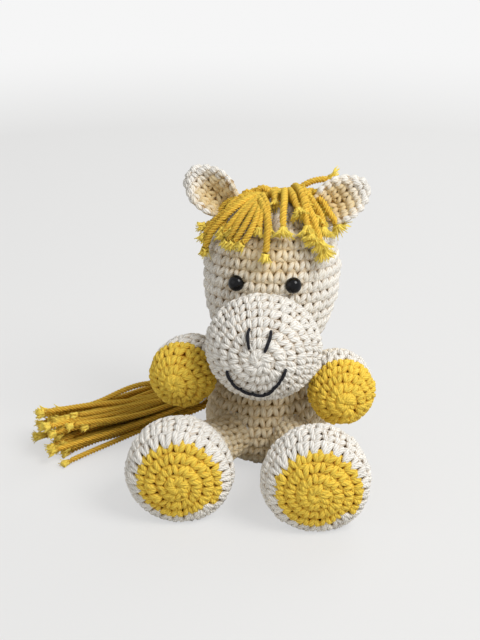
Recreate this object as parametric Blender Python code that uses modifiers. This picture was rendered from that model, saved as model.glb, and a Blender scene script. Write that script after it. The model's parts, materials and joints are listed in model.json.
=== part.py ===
"""A crocheted toy horse that sits upright with its legs forward and its arms held out.

Units are metres, +Z is up and the horse faces -Y. Left and right are the viewer's, so left is -X.
The origin is the middle of the flat rest under the body. Each sewn form is a fabric cover round
a lump of filling, and a ring of sewing yarn closes each join.
"""

import math

import bmesh
import bpy
from mathutils import Matrix, Vector

# Fabric, yarn and clearances
gap = 0.0003
wall = 0.0026
filling_slack = 0.0016
rest_depth = 0.0025
seam_yarn_radius = 0.0009
thread_radius = 0.00048
floor_cutter_depth = 0.0100

# Body: a pear whose top is a ball that the head sits on
body_radius = 0.0240
neck_ball_radius = 0.0135
neck_ball_height = 0.0430
neck_slack = 0.0005
neck_opening_angle = math.radians(42)
neck_shoulder_angle = math.radians(106)
body_radius_shares = (0.64, 0.73, 0.83, 0.94, 1.0, 0.975, 0.87, 0.66, 0.32)
body_height_shares = (0.80, 0.71, 0.61, 0.50, 0.33, 0.185, 0.075, 0.012, -0.011)

# Head: an egg, wider above, that tips back and leans a little to the right
head_radius = 0.0259
head_height = 0.0560
head_rim_rise = 0.0012
head_lean = math.radians(2.2)
head_tilt = math.radians(8.0)
head_radius_shares = (0.26, 0.52, 0.76, 0.92, 0.99, 1.0, 0.965, 0.88, 0.77, 0.655)
head_height_shares = (0.985, 0.94, 0.855, 0.735, 0.60, 0.47, 0.33, 0.19, 0.08, 0.0)

# Muzzle: a ball sewn to the lower front of the head
muzzle_radius = 0.0215
muzzle_depth = 0.0360
muzzle_reach = 0.0482
muzzle_rise = 0.0084
muzzle_shift = 0.0008
muzzle_squash_share = 0.93
muzzle_radius_shares = (0.30, 0.57, 0.79, 0.93, 1.0, 0.905, 0.70, 0.42)
muzzle_depth_shares = (0.022, 0.085, 0.20, 0.34, 0.49, 0.68, 0.85, 1.0)

# Ears: thick leaves of fabric rolled into a cup that opens forward
ear_length = 0.0225
ear_width = 0.0205
ear_cup_depth = 0.0085
ear_thickness = 0.0052
ear_sink = 0.0050
ear_place_angle = math.radians(38)
ear_lean = math.radians(51)
ear_turn = math.radians(12)
ear_along_shares = (0.0, 0.16, 0.32, 0.50, 0.68, 0.82, 0.93, 1.0)
ear_width_shares = (0.60, 0.64, 0.78, 0.96, 1.0, 0.88, 0.66, 0.34)
ear_cup_shares = (0.30, 0.60, 0.95, 1.0, 0.80, 0.45, 0.18, 0.0)
ear_thickness_shares = (1.0, 0.92, 0.86, 0.86, 0.92, 1.0, 0.95, 0.55)

# Eyes: domed heads on shanks that pass through the fabric into lock washers
eye_radius = 0.0030
eye_dome = 0.0027
eye_shank_radius = 0.0009
eye_hole_radius = 0.0012
eye_shank_length = 0.0062
eye_left_height = 0.0284
eye_right_height = 0.0293
eye_left_angle = math.radians(25)
eye_right_angle = math.radians(22)
washer_radius = 0.0040
washer_thickness = 0.0010

# Thread on the muzzle: how far to the side and up, as shares of the muzzle's radius
nostril_left_shares = ((-0.18, 0.50), (-0.215, 0.38), (-0.20, 0.20))
nostril_right_shares = ((0.185, 0.48), (0.135, 0.34), (0.065, 0.16))
mouth_shares = (
    (-0.50, -0.24),
    (-0.44, -0.38),
    (-0.33, -0.51),
    (-0.18, -0.60),
    (-0.02, -0.635),
    (0.14, -0.61),
    (0.28, -0.51),
    (0.39, -0.37),
    (0.455, -0.21),
)

# Arms: bent tubes, sewn to the sides, that swell into a yellow hoof
arm_root_radius = 0.0075
hoof_radius = 0.0128
hoof_dome = 0.0126
hoof_yarn_length = 0.0170
arm_root_height_share = 0.737
arm_root_angle = math.radians(80)
arm_sink = 0.0050
arm_reach_out = 0.0130
arm_reach_forward = 0.0185
arm_left_rise = 0.0078
arm_right_rise = 0.0040
arm_out_shares = (0.0, 0.36, 0.70, 0.90, 1.0)
arm_forward_shares = (0.0, 0.06, 0.28, 0.60, 1.0)
arm_swell_shares = (0.0, 0.24, 0.70, 0.96, 1.0)

# Legs: bent tubes, sewn to the front, that swell into a foot with a yellow sole
leg_root_radius = 0.0085
foot_radius = 0.0197
foot_dome = 0.0100
leg_root_height_share = 0.3256
leg_root_angle = math.radians(30)
leg_sink = 0.0060
leg_left_reach_out = 0.0138
leg_right_reach_out = 0.0110
leg_left_reach_forward = 0.0370
leg_right_reach_forward = 0.0380
sole_radius_share = 0.82
leg_left_out_shares = (0.0, 0.28, 0.62, 0.90, 1.02, 1.0)
leg_right_out_shares = (0.0, 0.22, 0.50, 0.78, 0.94, 1.0)
leg_forward_shares = (0.0, 0.18, 0.42, 0.64, 0.82, 1.0)
leg_swell_shares = (0.0, 0.06, 0.28, 0.72, 0.96, 1.0)

# Tail: a tuft of strands that lies on the floor to the left
tail_length = 0.0900
tail_root_height_share = 0.35
tail_root_angle = math.radians(190)
tail_knot_radius = 0.0042
tail_width = 0.0230
tail_height = 0.0180
tail_locks = 4
tail_out_shares = (0.0, 0.12, 0.28, 0.46, 0.65, 0.82, 0.93)
tail_forward_shares = (0.0, -0.02, 0.06, 0.19, 0.33, 0.45, 0.53)
tail_width_shares = (0.35, 0.56, 0.74, 0.83, 0.88, 0.95, 1.0)
tail_height_shares = (0.40, 0.62, 0.80, 0.86, 0.88, 0.95, 1.0)
tail_fold_shares = (0.0, 0.0, 0.06, 0.12, 0.20, 0.34, 0.45)
tail_hang_shares = (1.0, 0.78, 0.38, 0.10, 0.0, 0.0, 0.0)

# Yarn on the head: how far down the head from the crown, as shares of its height
forelock_width = 0.0240
forelock_thickness = 0.0052
forelock_down_shares = (0.07, 0.16, 0.27, 0.39, 0.50, 0.60)
forelock_round_degrees = (74, 50, 42, 38, 36, 35)
forelock_width_shares = (0.32, 0.60, 0.90, 1.0, 0.92, 0.62)
forelock_thickness_shares = (0.80, 1.0, 1.0, 0.95, 0.85, 0.55)
mane_width = 0.0240
mane_thickness = 0.0060
mane_down_shares = (0.12, 0.28, 0.48, 0.70, 0.92, 1.10)
mane_width_shares = (0.50, 0.85, 1.0, 1.0, 0.92, 0.60)
mane_thickness_shares = (0.80, 1.0, 1.0, 1.0, 0.90, 0.55)

# How finely the round forms are faceted
body_sides = 24
muzzle_sides = 20
inner_sides = 16
limb_bevel_resolution = 5
thread_bevel_resolution = 1
outline_steps = 2
limb_steps = 2
dome_steps = 5
ring_steps = 18
muzzle_ring_steps = 28
section_points = 16

left, right = -1, 1


def collection(name):
    """Makes a collection in the scene and returns it."""
    made = bpy.data.collections.new(name)
    bpy.context.scene.collection.children.link(made)
    return made


def finish(name, colour, roughness):
    """Returns a plain material of one colour."""
    material = bpy.data.materials.new(name)
    material.use_nodes = True
    shader = material.node_tree.nodes["Principled BSDF"]
    shader.inputs["Base Color"].default_value = (*colour, 1.0)
    shader.inputs["Roughness"].default_value = roughness
    shader.inputs["Metallic"].default_value = 0.0
    return material


def smooth(knots, steps):
    """Returns the knots with points between them, on a smooth curve through all of them."""
    points = []
    last = len(knots) - 1
    for i in range(last):
        around = (knots[max(i - 1, 0)], knots[i], knots[i + 1], knots[min(i + 2, last)])
        for k in range(steps):
            points.append(tuple(curve_value(*values, k / steps) for values in zip(*around)))
    points.append(tuple(knots[-1]))
    return points


def curve_value(before, start, end, after, share):
    """Reads a smooth curve between start and end at a share of the way."""
    slope_in = (end - before) / 2
    slope_out = (after - start) / 2
    rise = end - start
    bend = 3 * rise - 2 * slope_in - slope_out
    twist = slope_in + slope_out - 2 * rise
    return start + share * (slope_in + share * (bend + share * twist))


def grown(outline, distance):
    """Moves an outline of (radius, height) points, listed from the top down, outwards."""
    moved = []
    last = len(outline) - 1
    for i, (radius, height) in enumerate(outline):
        before, after = outline[max(i - 1, 0)], outline[min(i + 1, last)]
        run = after[0] - before[0]
        fall = before[1] - after[1]
        size = math.hypot(run, fall)
        out, up = fall / size, run / size
        if radius == 0:
            out, up = 0.0, math.copysign(1.0, up)
        moved.append((max(radius + out * distance, 0.0), height + up * distance))
    return moved


def radius_at(outline, height):
    """Reads the radius of an outline at a height, or zero past its ends."""
    for (r0, z0), (r1, z1) in zip(outline, outline[1:]):
        if z1 <= height <= z0 and z0 > z1:
            return r0 + (r1 - r0) * (z0 - height) / (z0 - z1)
    return 0.0


def height_at(outline, radius):
    """Reads the first height, from the top, where an outline has a radius."""
    for (r0, z0), (r1, z1) in zip(outline, outline[1:]):
        if r0 <= radius <= r1 and r1 > r0:
            return z0 + (z1 - z0) * (radius - r0) / (r1 - r0)
    return outline[0][1]


def along(outline, distance):
    """Returns the (radius, height) point at a distance down an outline, and the way down there."""
    left_over = distance
    for (r0, z0), (r1, z1) in zip(outline, outline[1:]):
        size = math.hypot(r1 - r0, z1 - z0)
        if left_over <= size:
            break
        left_over -= size
    share = left_over / size
    way = ((r1 - r0) / size, (z1 - z0) / size)
    return (r0 + (r1 - r0) * share, z0 + (z1 - z0) * share), way


def as_mesh(made):
    """Turns an object into a welded mesh in world places and removes the object."""
    bpy.context.view_layer.update()
    seen = made.evaluated_get(bpy.context.evaluated_depsgraph_get())
    mesh = bpy.data.meshes.new_from_object(seen)
    mesh.transform(made.matrix_world)
    bpy.data.objects.remove(made)
    shape = bmesh.new()
    shape.from_mesh(mesh)
    bmesh.ops.remove_doubles(shape, verts=shape.verts, dist=gap / 10)
    bmesh.ops.recalc_face_normals(shape, faces=shape.faces)
    shape.to_mesh(mesh)
    shape.free()
    return mesh


def turned(outline, sides):
    """Turns an outline, listed from the top down, round +Z."""
    profile = bpy.data.meshes.new("profile")
    edges = [(i, i + 1) for i in range(len(outline) - 1)]
    profile.from_pydata([(radius, 0, height) for radius, height in outline], edges, [])
    made = bpy.data.objects.new("turned", profile)
    bpy.context.scene.collection.objects.link(made)
    screw = made.modifiers.new("turn", "SCREW")
    screw.steps = screw.render_steps = sides
    screw.use_merge_vertices = True
    screw.merge_threshold = gap / 10
    return as_mesh(made)


def tube(stations, bevel_resolution, capped=False, cyclic=False):
    """Makes a round tube through a list of (place, radius) stations."""
    curve = bpy.data.curves.new("tube", "CURVE")
    curve.dimensions = "3D"
    curve.bevel_depth = 1.0
    curve.bevel_resolution = bevel_resolution
    curve.use_fill_caps = capped
    line = curve.splines.new("POLY")
    line.points.add(len(stations) - 1)
    line.use_cyclic_u = cyclic
    for point, (where, radius) in zip(line.points, stations):
        point.co = (*where, 1.0)
        point.radius = radius
    made = bpy.data.objects.new("tube", curve)
    bpy.context.scene.collection.objects.link(made)
    return as_mesh(made)


def loft(rings):
    """Joins rings of places, each with as many points, into a closed solid."""
    shape = bmesh.new()
    loops = [[shape.verts.new(place) for place in ring] for ring in rings]
    for low, high in zip(loops, loops[1:]):
        for i in range(section_points):
            k = (i + 1) % section_points
            shape.faces.new((low[i], low[k], high[k], high[i]))
    for ring in (loops[0], loops[-1]):
        middle = shape.verts.new(sum((v.co for v in ring), Vector()) / section_points)
        for i in range(section_points):
            shape.faces.new((ring[i], ring[(i + 1) % section_points], middle))
    bmesh.ops.recalc_face_normals(shape, faces=shape.faces)
    mesh = bpy.data.meshes.new("loft")
    shape.to_mesh(mesh)
    shape.free()
    return mesh


def rounded(k, fullness=0.75):
    """Returns the two unit coordinates of a point on a rounded section."""
    angle = 2 * math.pi * k / section_points
    across, over = math.cos(angle), math.sin(angle)
    return (
        math.copysign(abs(across) ** fullness, across),
        math.copysign(abs(over) ** fullness, over),
    )


class Toy:
    """The collections, the finishes and the pieces of the toy, and how a piece is added."""

    def __init__(self):
        self.parts = collection("plush_horse")
        self.cutters = collection("cutters")
        self.cream = finish("cream_yarn", (0.80, 0.72, 0.58), 0.9)
        self.yellow = finish("yellow_yarn", (0.85, 0.45, 0.03), 0.9)
        self.black = finish("black_thread", (0.01, 0.01, 0.02), 0.8)
        self.gloss = finish("black_plastic", (0.01, 0.01, 0.01), 0.15)
        self.clear = finish("white_plastic", (0.75, 0.75, 0.72), 0.5)
        self.fibre = finish("fibre_filling", (0.85, 0.85, 0.83), 0.95)

    def pivot(self, name, where):
        """Adds an empty on a joint's axis, for the pieces that move there."""
        made = bpy.data.objects.new(name, None)
        made.matrix_world = where
        self.parts.objects.link(made)
        bpy.context.view_layer.update()
        return made

    def add(self, name, mesh, look, pivot=None):
        """Adds a piece whose mesh is in its pivot's frame, or in the world's without one."""
        made = bpy.data.objects.new(name, mesh)
        made.parent = pivot
        self.parts.objects.link(made)
        mesh.materials.append(look)
        mesh.shade_smooth()
        return made

    def cutter(self, name, mesh, pivot=None):
        """Adds a solid that only cuts other pieces."""
        made = bpy.data.objects.new(name, mesh)
        made.parent = pivot
        made.display_type = "WIRE"
        made.hide_render = True
        self.cutters.objects.link(made)
        return made

    def cover(self, name, mesh, look, pivot=None):
        """Adds an open skin and gives it the fabric's thickness, inwards."""
        made = self.add(name, mesh, look, pivot)
        fabric = made.modifiers.new("fabric", "SOLIDIFY")
        fabric.thickness = wall
        fabric.offset = -1
        fabric.use_even_offset = True
        return made


def cut(piece, *tools):
    """Cuts solids away from a piece."""
    for tool in tools:
        trim = piece.modifiers.new("trim " + tool.name, "BOOLEAN")
        trim.operation = "DIFFERENCE"
        trim.solver = "EXACT"
        trim.object = tool
    return piece


def in_frame(mesh, frame):
    """Moves a mesh by a frame and returns it."""
    mesh.transform(frame)
    return mesh


def body_outline():
    """The pear, from the neck opening down to the middle of its rest."""
    turn = neck_shoulder_angle - neck_opening_angle
    angles = [neck_opening_angle + turn * k / 4 for k in range(5)]
    ball = [
        (neck_ball_radius * math.sin(a), neck_ball_height + neck_ball_radius * math.cos(a))
        for a in angles
    ]
    pear = [
        (body_radius * radius, neck_ball_height * height)
        for radius, height in zip(body_radius_shares, body_height_shares)
    ]
    pear.append((0.0, pear[-1][1]))
    return ball[:-1] + smooth([ball[-1]] + pear, outline_steps)


def capped_body(distance):
    """The pear moved outwards by a distance, with the top of the neck ball closed."""
    outline = grown(body_outline(), distance)
    radius = neck_ball_radius + distance
    angles = [neck_opening_angle * k / 4 for k in range(4)]
    cap = [(radius * math.sin(a), neck_ball_height + radius * math.cos(a)) for a in angles]
    return cap + outline


def head_outline():
    """The egg, from the crown down to its rim, above the neck ball's middle."""
    knots = [(0.0, head_rim_rise + head_height)]
    knots += [
        (head_radius * radius, head_rim_rise + head_height * height)
        for radius, height in zip(head_radius_shares, head_height_shares)
    ]
    return smooth(knots, outline_steps)


def closed_below(outline):
    """Closes an outline flat at its lower end."""
    return outline + [(0.0, outline[-1][1])]


def muzzle_outline():
    """The muzzle, from its front end at height zero back to its rim."""
    knots = [(0.0, 0.0)]
    knots += [
        (muzzle_radius * radius, -muzzle_depth * depth)
        for radius, depth in zip(muzzle_radius_shares, muzzle_depth_shares)
    ]
    return smooth(knots, outline_steps)


def muzzle_frame():
    """The muzzle's frame on the head: its own +Z points forward and its +Y up."""
    return (
        Matrix.Translation((muzzle_shift, -muzzle_reach, muzzle_rise))
        @ Matrix.Rotation(math.pi / 2, 4, "X")
        @ Matrix.Diagonal((1, muzzle_squash_share, 1, 1))
    )


def limb(knots, end_radius, dome, inset=0.0):
    """Stations of a limb from its root to the pole of its end, inside its skin by an inset."""
    stations = [(Vector(k[:3]), k[3] - inset) for k in smooth(knots, limb_steps)]
    end = stations[-1][0]
    way = (end - stations[-2][0]).normalized()
    for k in range(1, dome_steps + 1):
        angle = math.pi / 2 * k / dome_steps
        radius = (end_radius - inset) * math.cos(angle)
        stations.append((end + way * (dome - inset) * math.sin(angle), max(radius, gap / 100)))
    return stations


def from_end(stations, near, far):
    """The part of a limb between two distances from its pole, still listed from the root."""
    kept = []
    run = 0.0
    back = stations[::-1]
    for (a, ra), (b, rb) in zip(back, back[1:]):
        step = (b - a).length
        for at in (near, far):
            if run < at < run + step:
                share = (at - run) / step
                kept.append((a.lerp(b, share), ra + (rb - ra) * share))
        run += step
        if near < run < far:
            kept.append((b, rb))
    if near == 0:
        kept.insert(0, back[0])
    return kept[::-1]


def limb_point(stations, share, turn, offset):
    """A point outside a limb's skin by an offset, at a share of its length and a turn round it."""
    at = share * (len(stations) - 1)
    i = min(int(at), len(stations) - 2)
    (a, ra), (b, rb) = stations[i], stations[i + 1]
    way = (b - a).normalized()
    side = way.cross(Vector((0, 0, 1))).normalized()
    up = side.cross(way)
    radius = ra + (rb - ra) * (at - i) + offset
    return a.lerp(b, at - i) + (side * math.cos(turn) + up * math.sin(turn)) * radius


def join_ring(point_at, outline, offset, steps=ring_steps):
    """The middle line of a yarn ring that lies in the corner between a piece and a turned form.

    point_at(share, turn) is outside the piece by the offset, and is inside the form at share 0.
    """
    skin = grown(outline, offset)
    ring = []
    for k in range(steps):
        turn = 2 * math.pi * k / steps
        inside, outside = 0.0, 1.0
        for _ in range(24):
            middle = (inside + outside) / 2
            place = point_at(middle, turn)
            if math.hypot(place.x, place.y) < radius_at(skin, place.z):
                inside = middle
            else:
                outside = middle
        ring.append(point_at(outside, turn))
    return ring


def yarn_ring(line):
    """A closed ring of sewing yarn along a line."""
    stations = [(place, seam_yarn_radius) for place in line]
    return tube(stations, thread_bevel_resolution, cyclic=True)


seam_offset = gap + seam_yarn_radius


def build_body(toy):
    """The body's cover and filling, and the yarn ring round the neck."""
    outline = body_outline()
    size = 4 * body_radius
    bpy.ops.mesh.primitive_cube_add(size=1, location=(0, 0, -floor_cutter_depth / 2))
    block = bpy.context.object
    block.scale = (size * 2, size * 2, floor_cutter_depth)
    toy.floor = toy.cutter("floor_cutter", as_mesh(block))
    toy.body_space = toy.cutter("body_space", turned(capped_body(gap), body_sides))
    cut(toy.cover("body_cover", turned(outline, body_sides), toy.cream), toy.floor)
    filling = capped_body(-wall - gap)
    toy.add("body_stuffing", turned(filling, inner_sides), toy.fibre)


def build_head(toy):
    """The head's cover and filling, on the pivot at the middle of the neck ball."""
    where = Matrix.Translation((0, 0, neck_ball_height)) @ Matrix.Rotation(head_lean, 4, "Y")
    where @= Matrix.Rotation(-head_tilt, 4, "X")
    toy.neck = toy.pivot("neck_pivot", where)
    outline = head_outline()
    space = turned(closed_below(grown(outline, gap)), body_sides)
    toy.head_space = toy.cutter("head_space", space, toy.neck)
    toy.head = toy.cover("head_cover", turned(outline, body_sides), toy.cream, toy.neck)
    inner = [p for p in grown(outline, -wall - gap) if p[1] > neck_ball_radius / 2]
    filling = toy.add("head_stuffing", turned(closed_below(inner), inner_sides), toy.fibre, toy.neck)
    toy.head_filling = cut(filling, toy.body_space)
    radius = neck_ball_radius + seam_offset + neck_slack
    height = head_rim_rise - seam_offset
    turns = [2 * math.pi * k / ring_steps for k in range(ring_steps)]
    line = [Vector((radius * math.cos(t), radius * math.sin(t), height)) for t in turns]
    toy.add("neck_seam", yarn_ring(line), toy.cream, toy.neck)
    high, low = head_rim_rise, height - seam_offset
    disc = [(0.0, high), (radius + seam_offset, high), (radius + seam_offset, low), (0.0, low)]
    toy.neck_seam_space = toy.cutter("neck_seam_space", turned(disc, body_sides), toy.neck)


def build_eyes(toy):
    """Each eye with its shank through the head's cover and its lock washer behind it."""
    outline = head_outline()
    steps = 6
    quarter = [math.pi / 2 * k / steps for k in range(steps)]
    dome = [(eye_radius * math.sin(a), eye_dome * math.cos(a)) for a in quarter]
    dome += [(eye_radius, 0.0), (eye_shank_radius, 0.0)]
    dome += [(eye_shank_radius, -eye_shank_length), (0.0, -eye_shank_length)]
    sag = washer_radius**2 / (2 * (head_radius - wall))
    top = -(wall + sag + 2 * gap)
    bottom = top - washer_thickness
    washer = [(eye_hole_radius, top), (washer_radius, top), (washer_radius, bottom)]
    washer += [(eye_hole_radius, bottom), (eye_hole_radius, top)]
    recess_depth = -eye_shank_length - gap
    recess_radius = washer_radius + gap
    recess = [(0.0, 0.0), (recess_radius, 0.0), (recess_radius, recess_depth), (0.0, recess_depth)]
    hole = [(0.0, eye_dome), (eye_hole_radius, eye_dome)]
    hole += [(eye_hole_radius, recess_depth), (0.0, recess_depth)]
    own = {
        "left": (left * eye_left_angle, head_rim_rise + eye_left_height),
        "right": (right * eye_right_angle, head_rim_rise + eye_right_height),
    }
    for word, (turn, height) in own.items():
        above, below = height + eye_radius, height - eye_radius
        rise = math.atan2(radius_at(outline, below) - radius_at(outline, above), above - below)
        spot = Matrix.Rotation(turn, 4, "Z")
        spot @= Matrix.Translation((0, -radius_at(outline, height) - gap, height))
        spot @= Matrix.Rotation(math.pi / 2 - rise, 4, "X")
        toy.add("eye_" + word, in_frame(turned(dome, inner_sides), spot), toy.gloss, toy.neck)
        ring = in_frame(turned(washer, inner_sides), spot)
        toy.add("eye_" + word + "_washer", ring, toy.clear, toy.neck)
        hole_cutter = in_frame(turned(hole, inner_sides), spot)
        cut(toy.head, toy.cutter("eye_hole_" + word, hole_cutter, toy.neck))
        recess_cutter = in_frame(turned(recess, inner_sides), spot)
        cut(toy.head_filling, toy.cutter("eye_recess_" + word, recess_cutter, toy.neck))


def build_muzzle(toy):
    """The muzzle's cover and filling, its seam and the thread on its face."""
    frame = muzzle_frame()
    outline = muzzle_outline()
    skin = in_frame(turned(outline, muzzle_sides), frame)
    neighbours = (toy.head_space, toy.body_space, toy.neck_seam_space)
    cut(toy.cover("muzzle_cover", skin, toy.cream, toy.neck), *neighbours)
    inner = closed_below(grown(outline, (-wall - gap) / muzzle_squash_share))
    filling = in_frame(turned(inner, inner_sides), frame)
    filling = toy.add("muzzle_stuffing", filling, toy.fibre, toy.neck)
    cut(filling, *neighbours)
    clear = grown(outline, seam_offset / muzzle_squash_share)

    def point_at(share, turn):
        (radius, height), _ = along(clear, (1 - share) * muzzle_depth * 1.2)
        return frame @ Vector((radius * math.cos(turn), radius * math.sin(turn), height))

    line = join_ring(point_at, head_outline(), seam_offset, muzzle_ring_steps)
    low = head_rim_rise + seam_yarn_radius
    open_line = [place for place in line if place.z > low]
    start = max(range(len(line)), key=lambda i: line[i - 1].z <= low < line[i].z)
    open_line = [line[(start + i) % len(line)] for i in range(len(open_line))]
    stations = [(place, seam_yarn_radius) for place in open_line]
    toy.add("muzzle_seam", tube(stations, thread_bevel_resolution, capped=True), toy.cream, toy.neck)
    face = grown(outline, (gap + thread_radius) / muzzle_squash_share)
    threads = (
        ("nostril_left", nostril_left_shares),
        ("nostril_right", nostril_right_shares),
        ("mouth_thread", mouth_shares),
    )
    for name, shares in threads:
        stations = []
        for across, up in smooth(shares, 3):
            depth = height_at(face, muzzle_radius * math.hypot(across, up))
            place = frame @ Vector((muzzle_radius * across, muzzle_radius * up, depth))
            stations.append((place, thread_radius))
        thread = tube(stations, thread_bevel_resolution, capped=True)
        toy.add(name, thread, toy.black, toy.neck)


def ear_frame(side):
    """An ear's frame on the head: its +Z runs to the tip and its -Y to the open side."""
    crown = head_rim_rise + head_height - head_radius
    base = Vector((side * math.sin(ear_place_angle), 0, math.cos(ear_place_angle)))
    spot = Matrix.Translation(Vector((0, 0, crown)) + base * head_radius)
    spot @= Matrix.Rotation(side * ear_lean, 4, "Y")
    return spot @ Matrix.Rotation(-side * ear_turn, 4, "Z") @ Matrix.Translation((0, 0, -ear_sink))


def ear_ring(frame, width, cup, thick, height):
    """One bent section of an ear."""
    half = width / 2 - thick / 2
    ring = []
    for k in range(section_points):
        across, over = rounded(k)
        slope = Vector((half, -2 * cup * across)).normalized()
        x = half * across - slope.y * over * thick / 2
        y = -cup * across**2 + slope.x * over * thick / 2
        ring.append(frame @ Vector((x, y, height)))
    return ring


def ear_rings(side):
    """The bent sections of an ear from its root to its tip."""
    frame = ear_frame(side)
    rings = []
    table = zip(ear_along_shares, ear_width_shares, ear_cup_shares, ear_thickness_shares)
    for share, width, cup, thick in table:
        sizes = (ear_width * width, ear_cup_depth * cup, ear_thickness * thick)
        rings.append(ear_ring(frame, *sizes, (ear_length + ear_sink) * share))
    return rings


def ear_hull(side, clearance):
    """Plain sections that stay outside an ear by a clearance, from its root to its tip."""
    frame = ear_frame(side)
    span = ear_length + ear_sink
    table = zip(ear_along_shares, ear_width_shares, ear_cup_shares, ear_thickness_shares)
    rings = []
    for share, width, cup, thick in table:
        half_width = ear_width * width / 2 + clearance
        half_depth = (ear_cup_depth * cup + ear_thickness * thick) / 2 + clearance
        middle = -ear_cup_depth * cup / 2
        height = (span + clearance) * share
        steps = [rounded(k) for k in range(section_points)]
        places = [(half_width * x, middle + half_depth * y, height) for x, y in steps]
        rings.append([frame @ Vector(place) for place in places])
    return rings


def build_ears(toy):
    """Both ears, each with its seam round the root."""
    toy.ear_spaces = []
    for side, word in ((left, "left"), (right, "right")):
        ear = toy.add("ear_" + word, loft(ear_rings(side)), toy.cream, toy.neck)
        cut(ear, toy.head_space)
        around = ear_hull(side, seam_offset)

        def point_at(share, turn):
            at = share * (len(around) - 1)
            i = min(int(at), len(around) - 2)
            k = turn / (2 * math.pi) * section_points
            m = int(k) % section_points
            low = around[i][m].lerp(around[i][(m + 1) % section_points], k - int(k))
            high = around[i + 1][m].lerp(around[i + 1][(m + 1) % section_points], k - int(k))
            return low.lerp(high, at - i)

        line = join_ring(point_at, head_outline(), seam_offset)
        toy.add("ear_" + word + "_seam", yarn_ring(line), toy.cream, toy.neck)
        space = toy.cutter("ear_" + word + "_space", loft(ear_hull(side, gap + 2 * seam_offset)), toy.neck)
        toy.ear_spaces.append(space)


def draped(down_shares, round_degrees, width, widths, thickness, thicks):
    """A lock of yarn laid down the head: its sections, in the head's frame."""
    outline = head_outline()
    line = []
    for down, turn in zip(down_shares, round_degrees):
        (radius, height), (run, fall) = along(outline, down * head_height)
        angle = math.radians(turn)
        away = Vector((math.sin(angle), -math.cos(angle), 0))
        normal = (away * -fall + Vector((0, 0, run))).normalized()
        line.append((away * radius + Vector((0, 0, height)), normal))
    rings = []
    last = len(line) - 1
    for i, (place, normal) in enumerate(line):
        way = (line[min(i + 1, last)][0] - line[max(i - 1, 0)][0]).normalized()
        across = way.cross(normal).normalized()
        thick = thickness * thicks[i] / 2
        middle = place + normal * (thick + gap)
        ring = []
        for k in range(section_points):
            side, over = rounded(k)
            step = across * side * width * widths[i] / 2 + normal * over * thick
            ring.append(middle + step)
        rings.append(ring)
    return rings


def build_yarn_on_head(toy):
    """The forelock's two bunches and the mane, laid on the head."""
    for side, word in ((left, "left"), (right, "right")):
        turns = [side * turn for turn in forelock_round_degrees]
        rings = draped(
            forelock_down_shares,
            turns,
            forelock_width,
            forelock_width_shares,
            forelock_thickness,
            forelock_thickness_shares,
        )
        lock = toy.add("forelock_" + word, loft(rings), toy.yellow, toy.neck)
        cut(lock, toy.head_space, *toy.ear_spaces)
    rings = draped(
        mane_down_shares,
        [180] * len(mane_down_shares),
        mane_width,
        mane_width_shares,
        mane_thickness,
        mane_thickness_shares,
    )
    cut(toy.add("mane_yarn", loft(rings), toy.yellow, toy.neck), toy.head_space)


def bent_knots(side, rise, sizes, shares):
    """The knots of an arm or a leg, each (x, y, z, radius), from inside the body to its end."""
    angle, height, sink, reach_out, reach_forward, root_radius, end_radius = sizes
    away = Vector((side * math.sin(angle), -math.cos(angle), 0))
    skin = away * radius_at(body_outline(), height) + Vector((0, 0, height))
    knots = [(*(skin - away * sink), root_radius)]
    for out, forward, swell in zip(*shares):
        step = Vector((side * reach_out * out, -reach_forward * forward, rise * swell))
        knots.append((*(skin + step), root_radius + (end_radius - root_radius) * swell))
    return knots


def build_limb(toy, side, names, knots, angle, dome, end_length, trims=()):
    """A limb's cover in two yarns and its filling, on its pivot, and its seam on the body."""
    seam_name, limb_name, end_name = names
    end_radius = knots[-1][3]
    skin = limb(knots, end_radius, dome)
    root_part = skin[:-dome_steps]

    def point_at(share, turn):
        return limb_point(root_part, share, turn, seam_offset)

    line = join_ring(point_at, body_outline(), seam_offset)
    backwards = Vector((side * math.cos(angle), math.sin(angle), 0))
    hinge = max(line, key=lambda place: place.dot(backwards))
    pivot = toy.pivot(limb_name + "_pivot", Matrix.Translation(hinge))
    home = pivot.matrix_world.inverted()
    toy.add(seam_name, in_frame(yarn_ring(line), home), toy.cream, pivot)
    whole = sum((b - a).length for (a, _), (b, _) in zip(skin, skin[1:]))
    sleeve = in_frame(tube(from_end(skin, end_length + gap, 2 * whole), limb_bevel_resolution), home)
    end = in_frame(tube(from_end(skin, 0, end_length), limb_bevel_resolution), home)
    inner = limb(knots, end_radius, dome, wall + gap + filling_slack)
    filling = in_frame(tube(inner, limb_bevel_resolution // 2, capped=True), home)
    sleeve = toy.cover(limb_name + "_sleeve", sleeve, toy.cream, pivot)
    cut(sleeve, toy.body_space, *trims)
    toy.cover(limb_name + "_" + end_name, end, toy.yellow, pivot)
    filling = toy.add(limb_name + "_stuffing", filling, toy.fibre, pivot)
    cut(filling, toy.body_space)


def build_arms(toy):
    """Both arms; the left one is held a little higher."""
    height = neck_ball_height * arm_root_height_share
    sizes = (arm_root_angle, height, arm_sink, arm_reach_out, arm_reach_forward)
    sizes += (arm_root_radius, hoof_radius)
    shares = (arm_out_shares, arm_forward_shares, arm_swell_shares)
    for side, word, rise in ((left, "left", arm_left_rise), (right, "right", arm_right_rise)):
        names = ("shoulder_" + word + "_seam", "arm_" + word, "hoof")
        knots = bent_knots(side, rise, sizes, shares)
        build_limb(toy, side, names, knots, arm_root_angle, hoof_dome, hoof_yarn_length)


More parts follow.
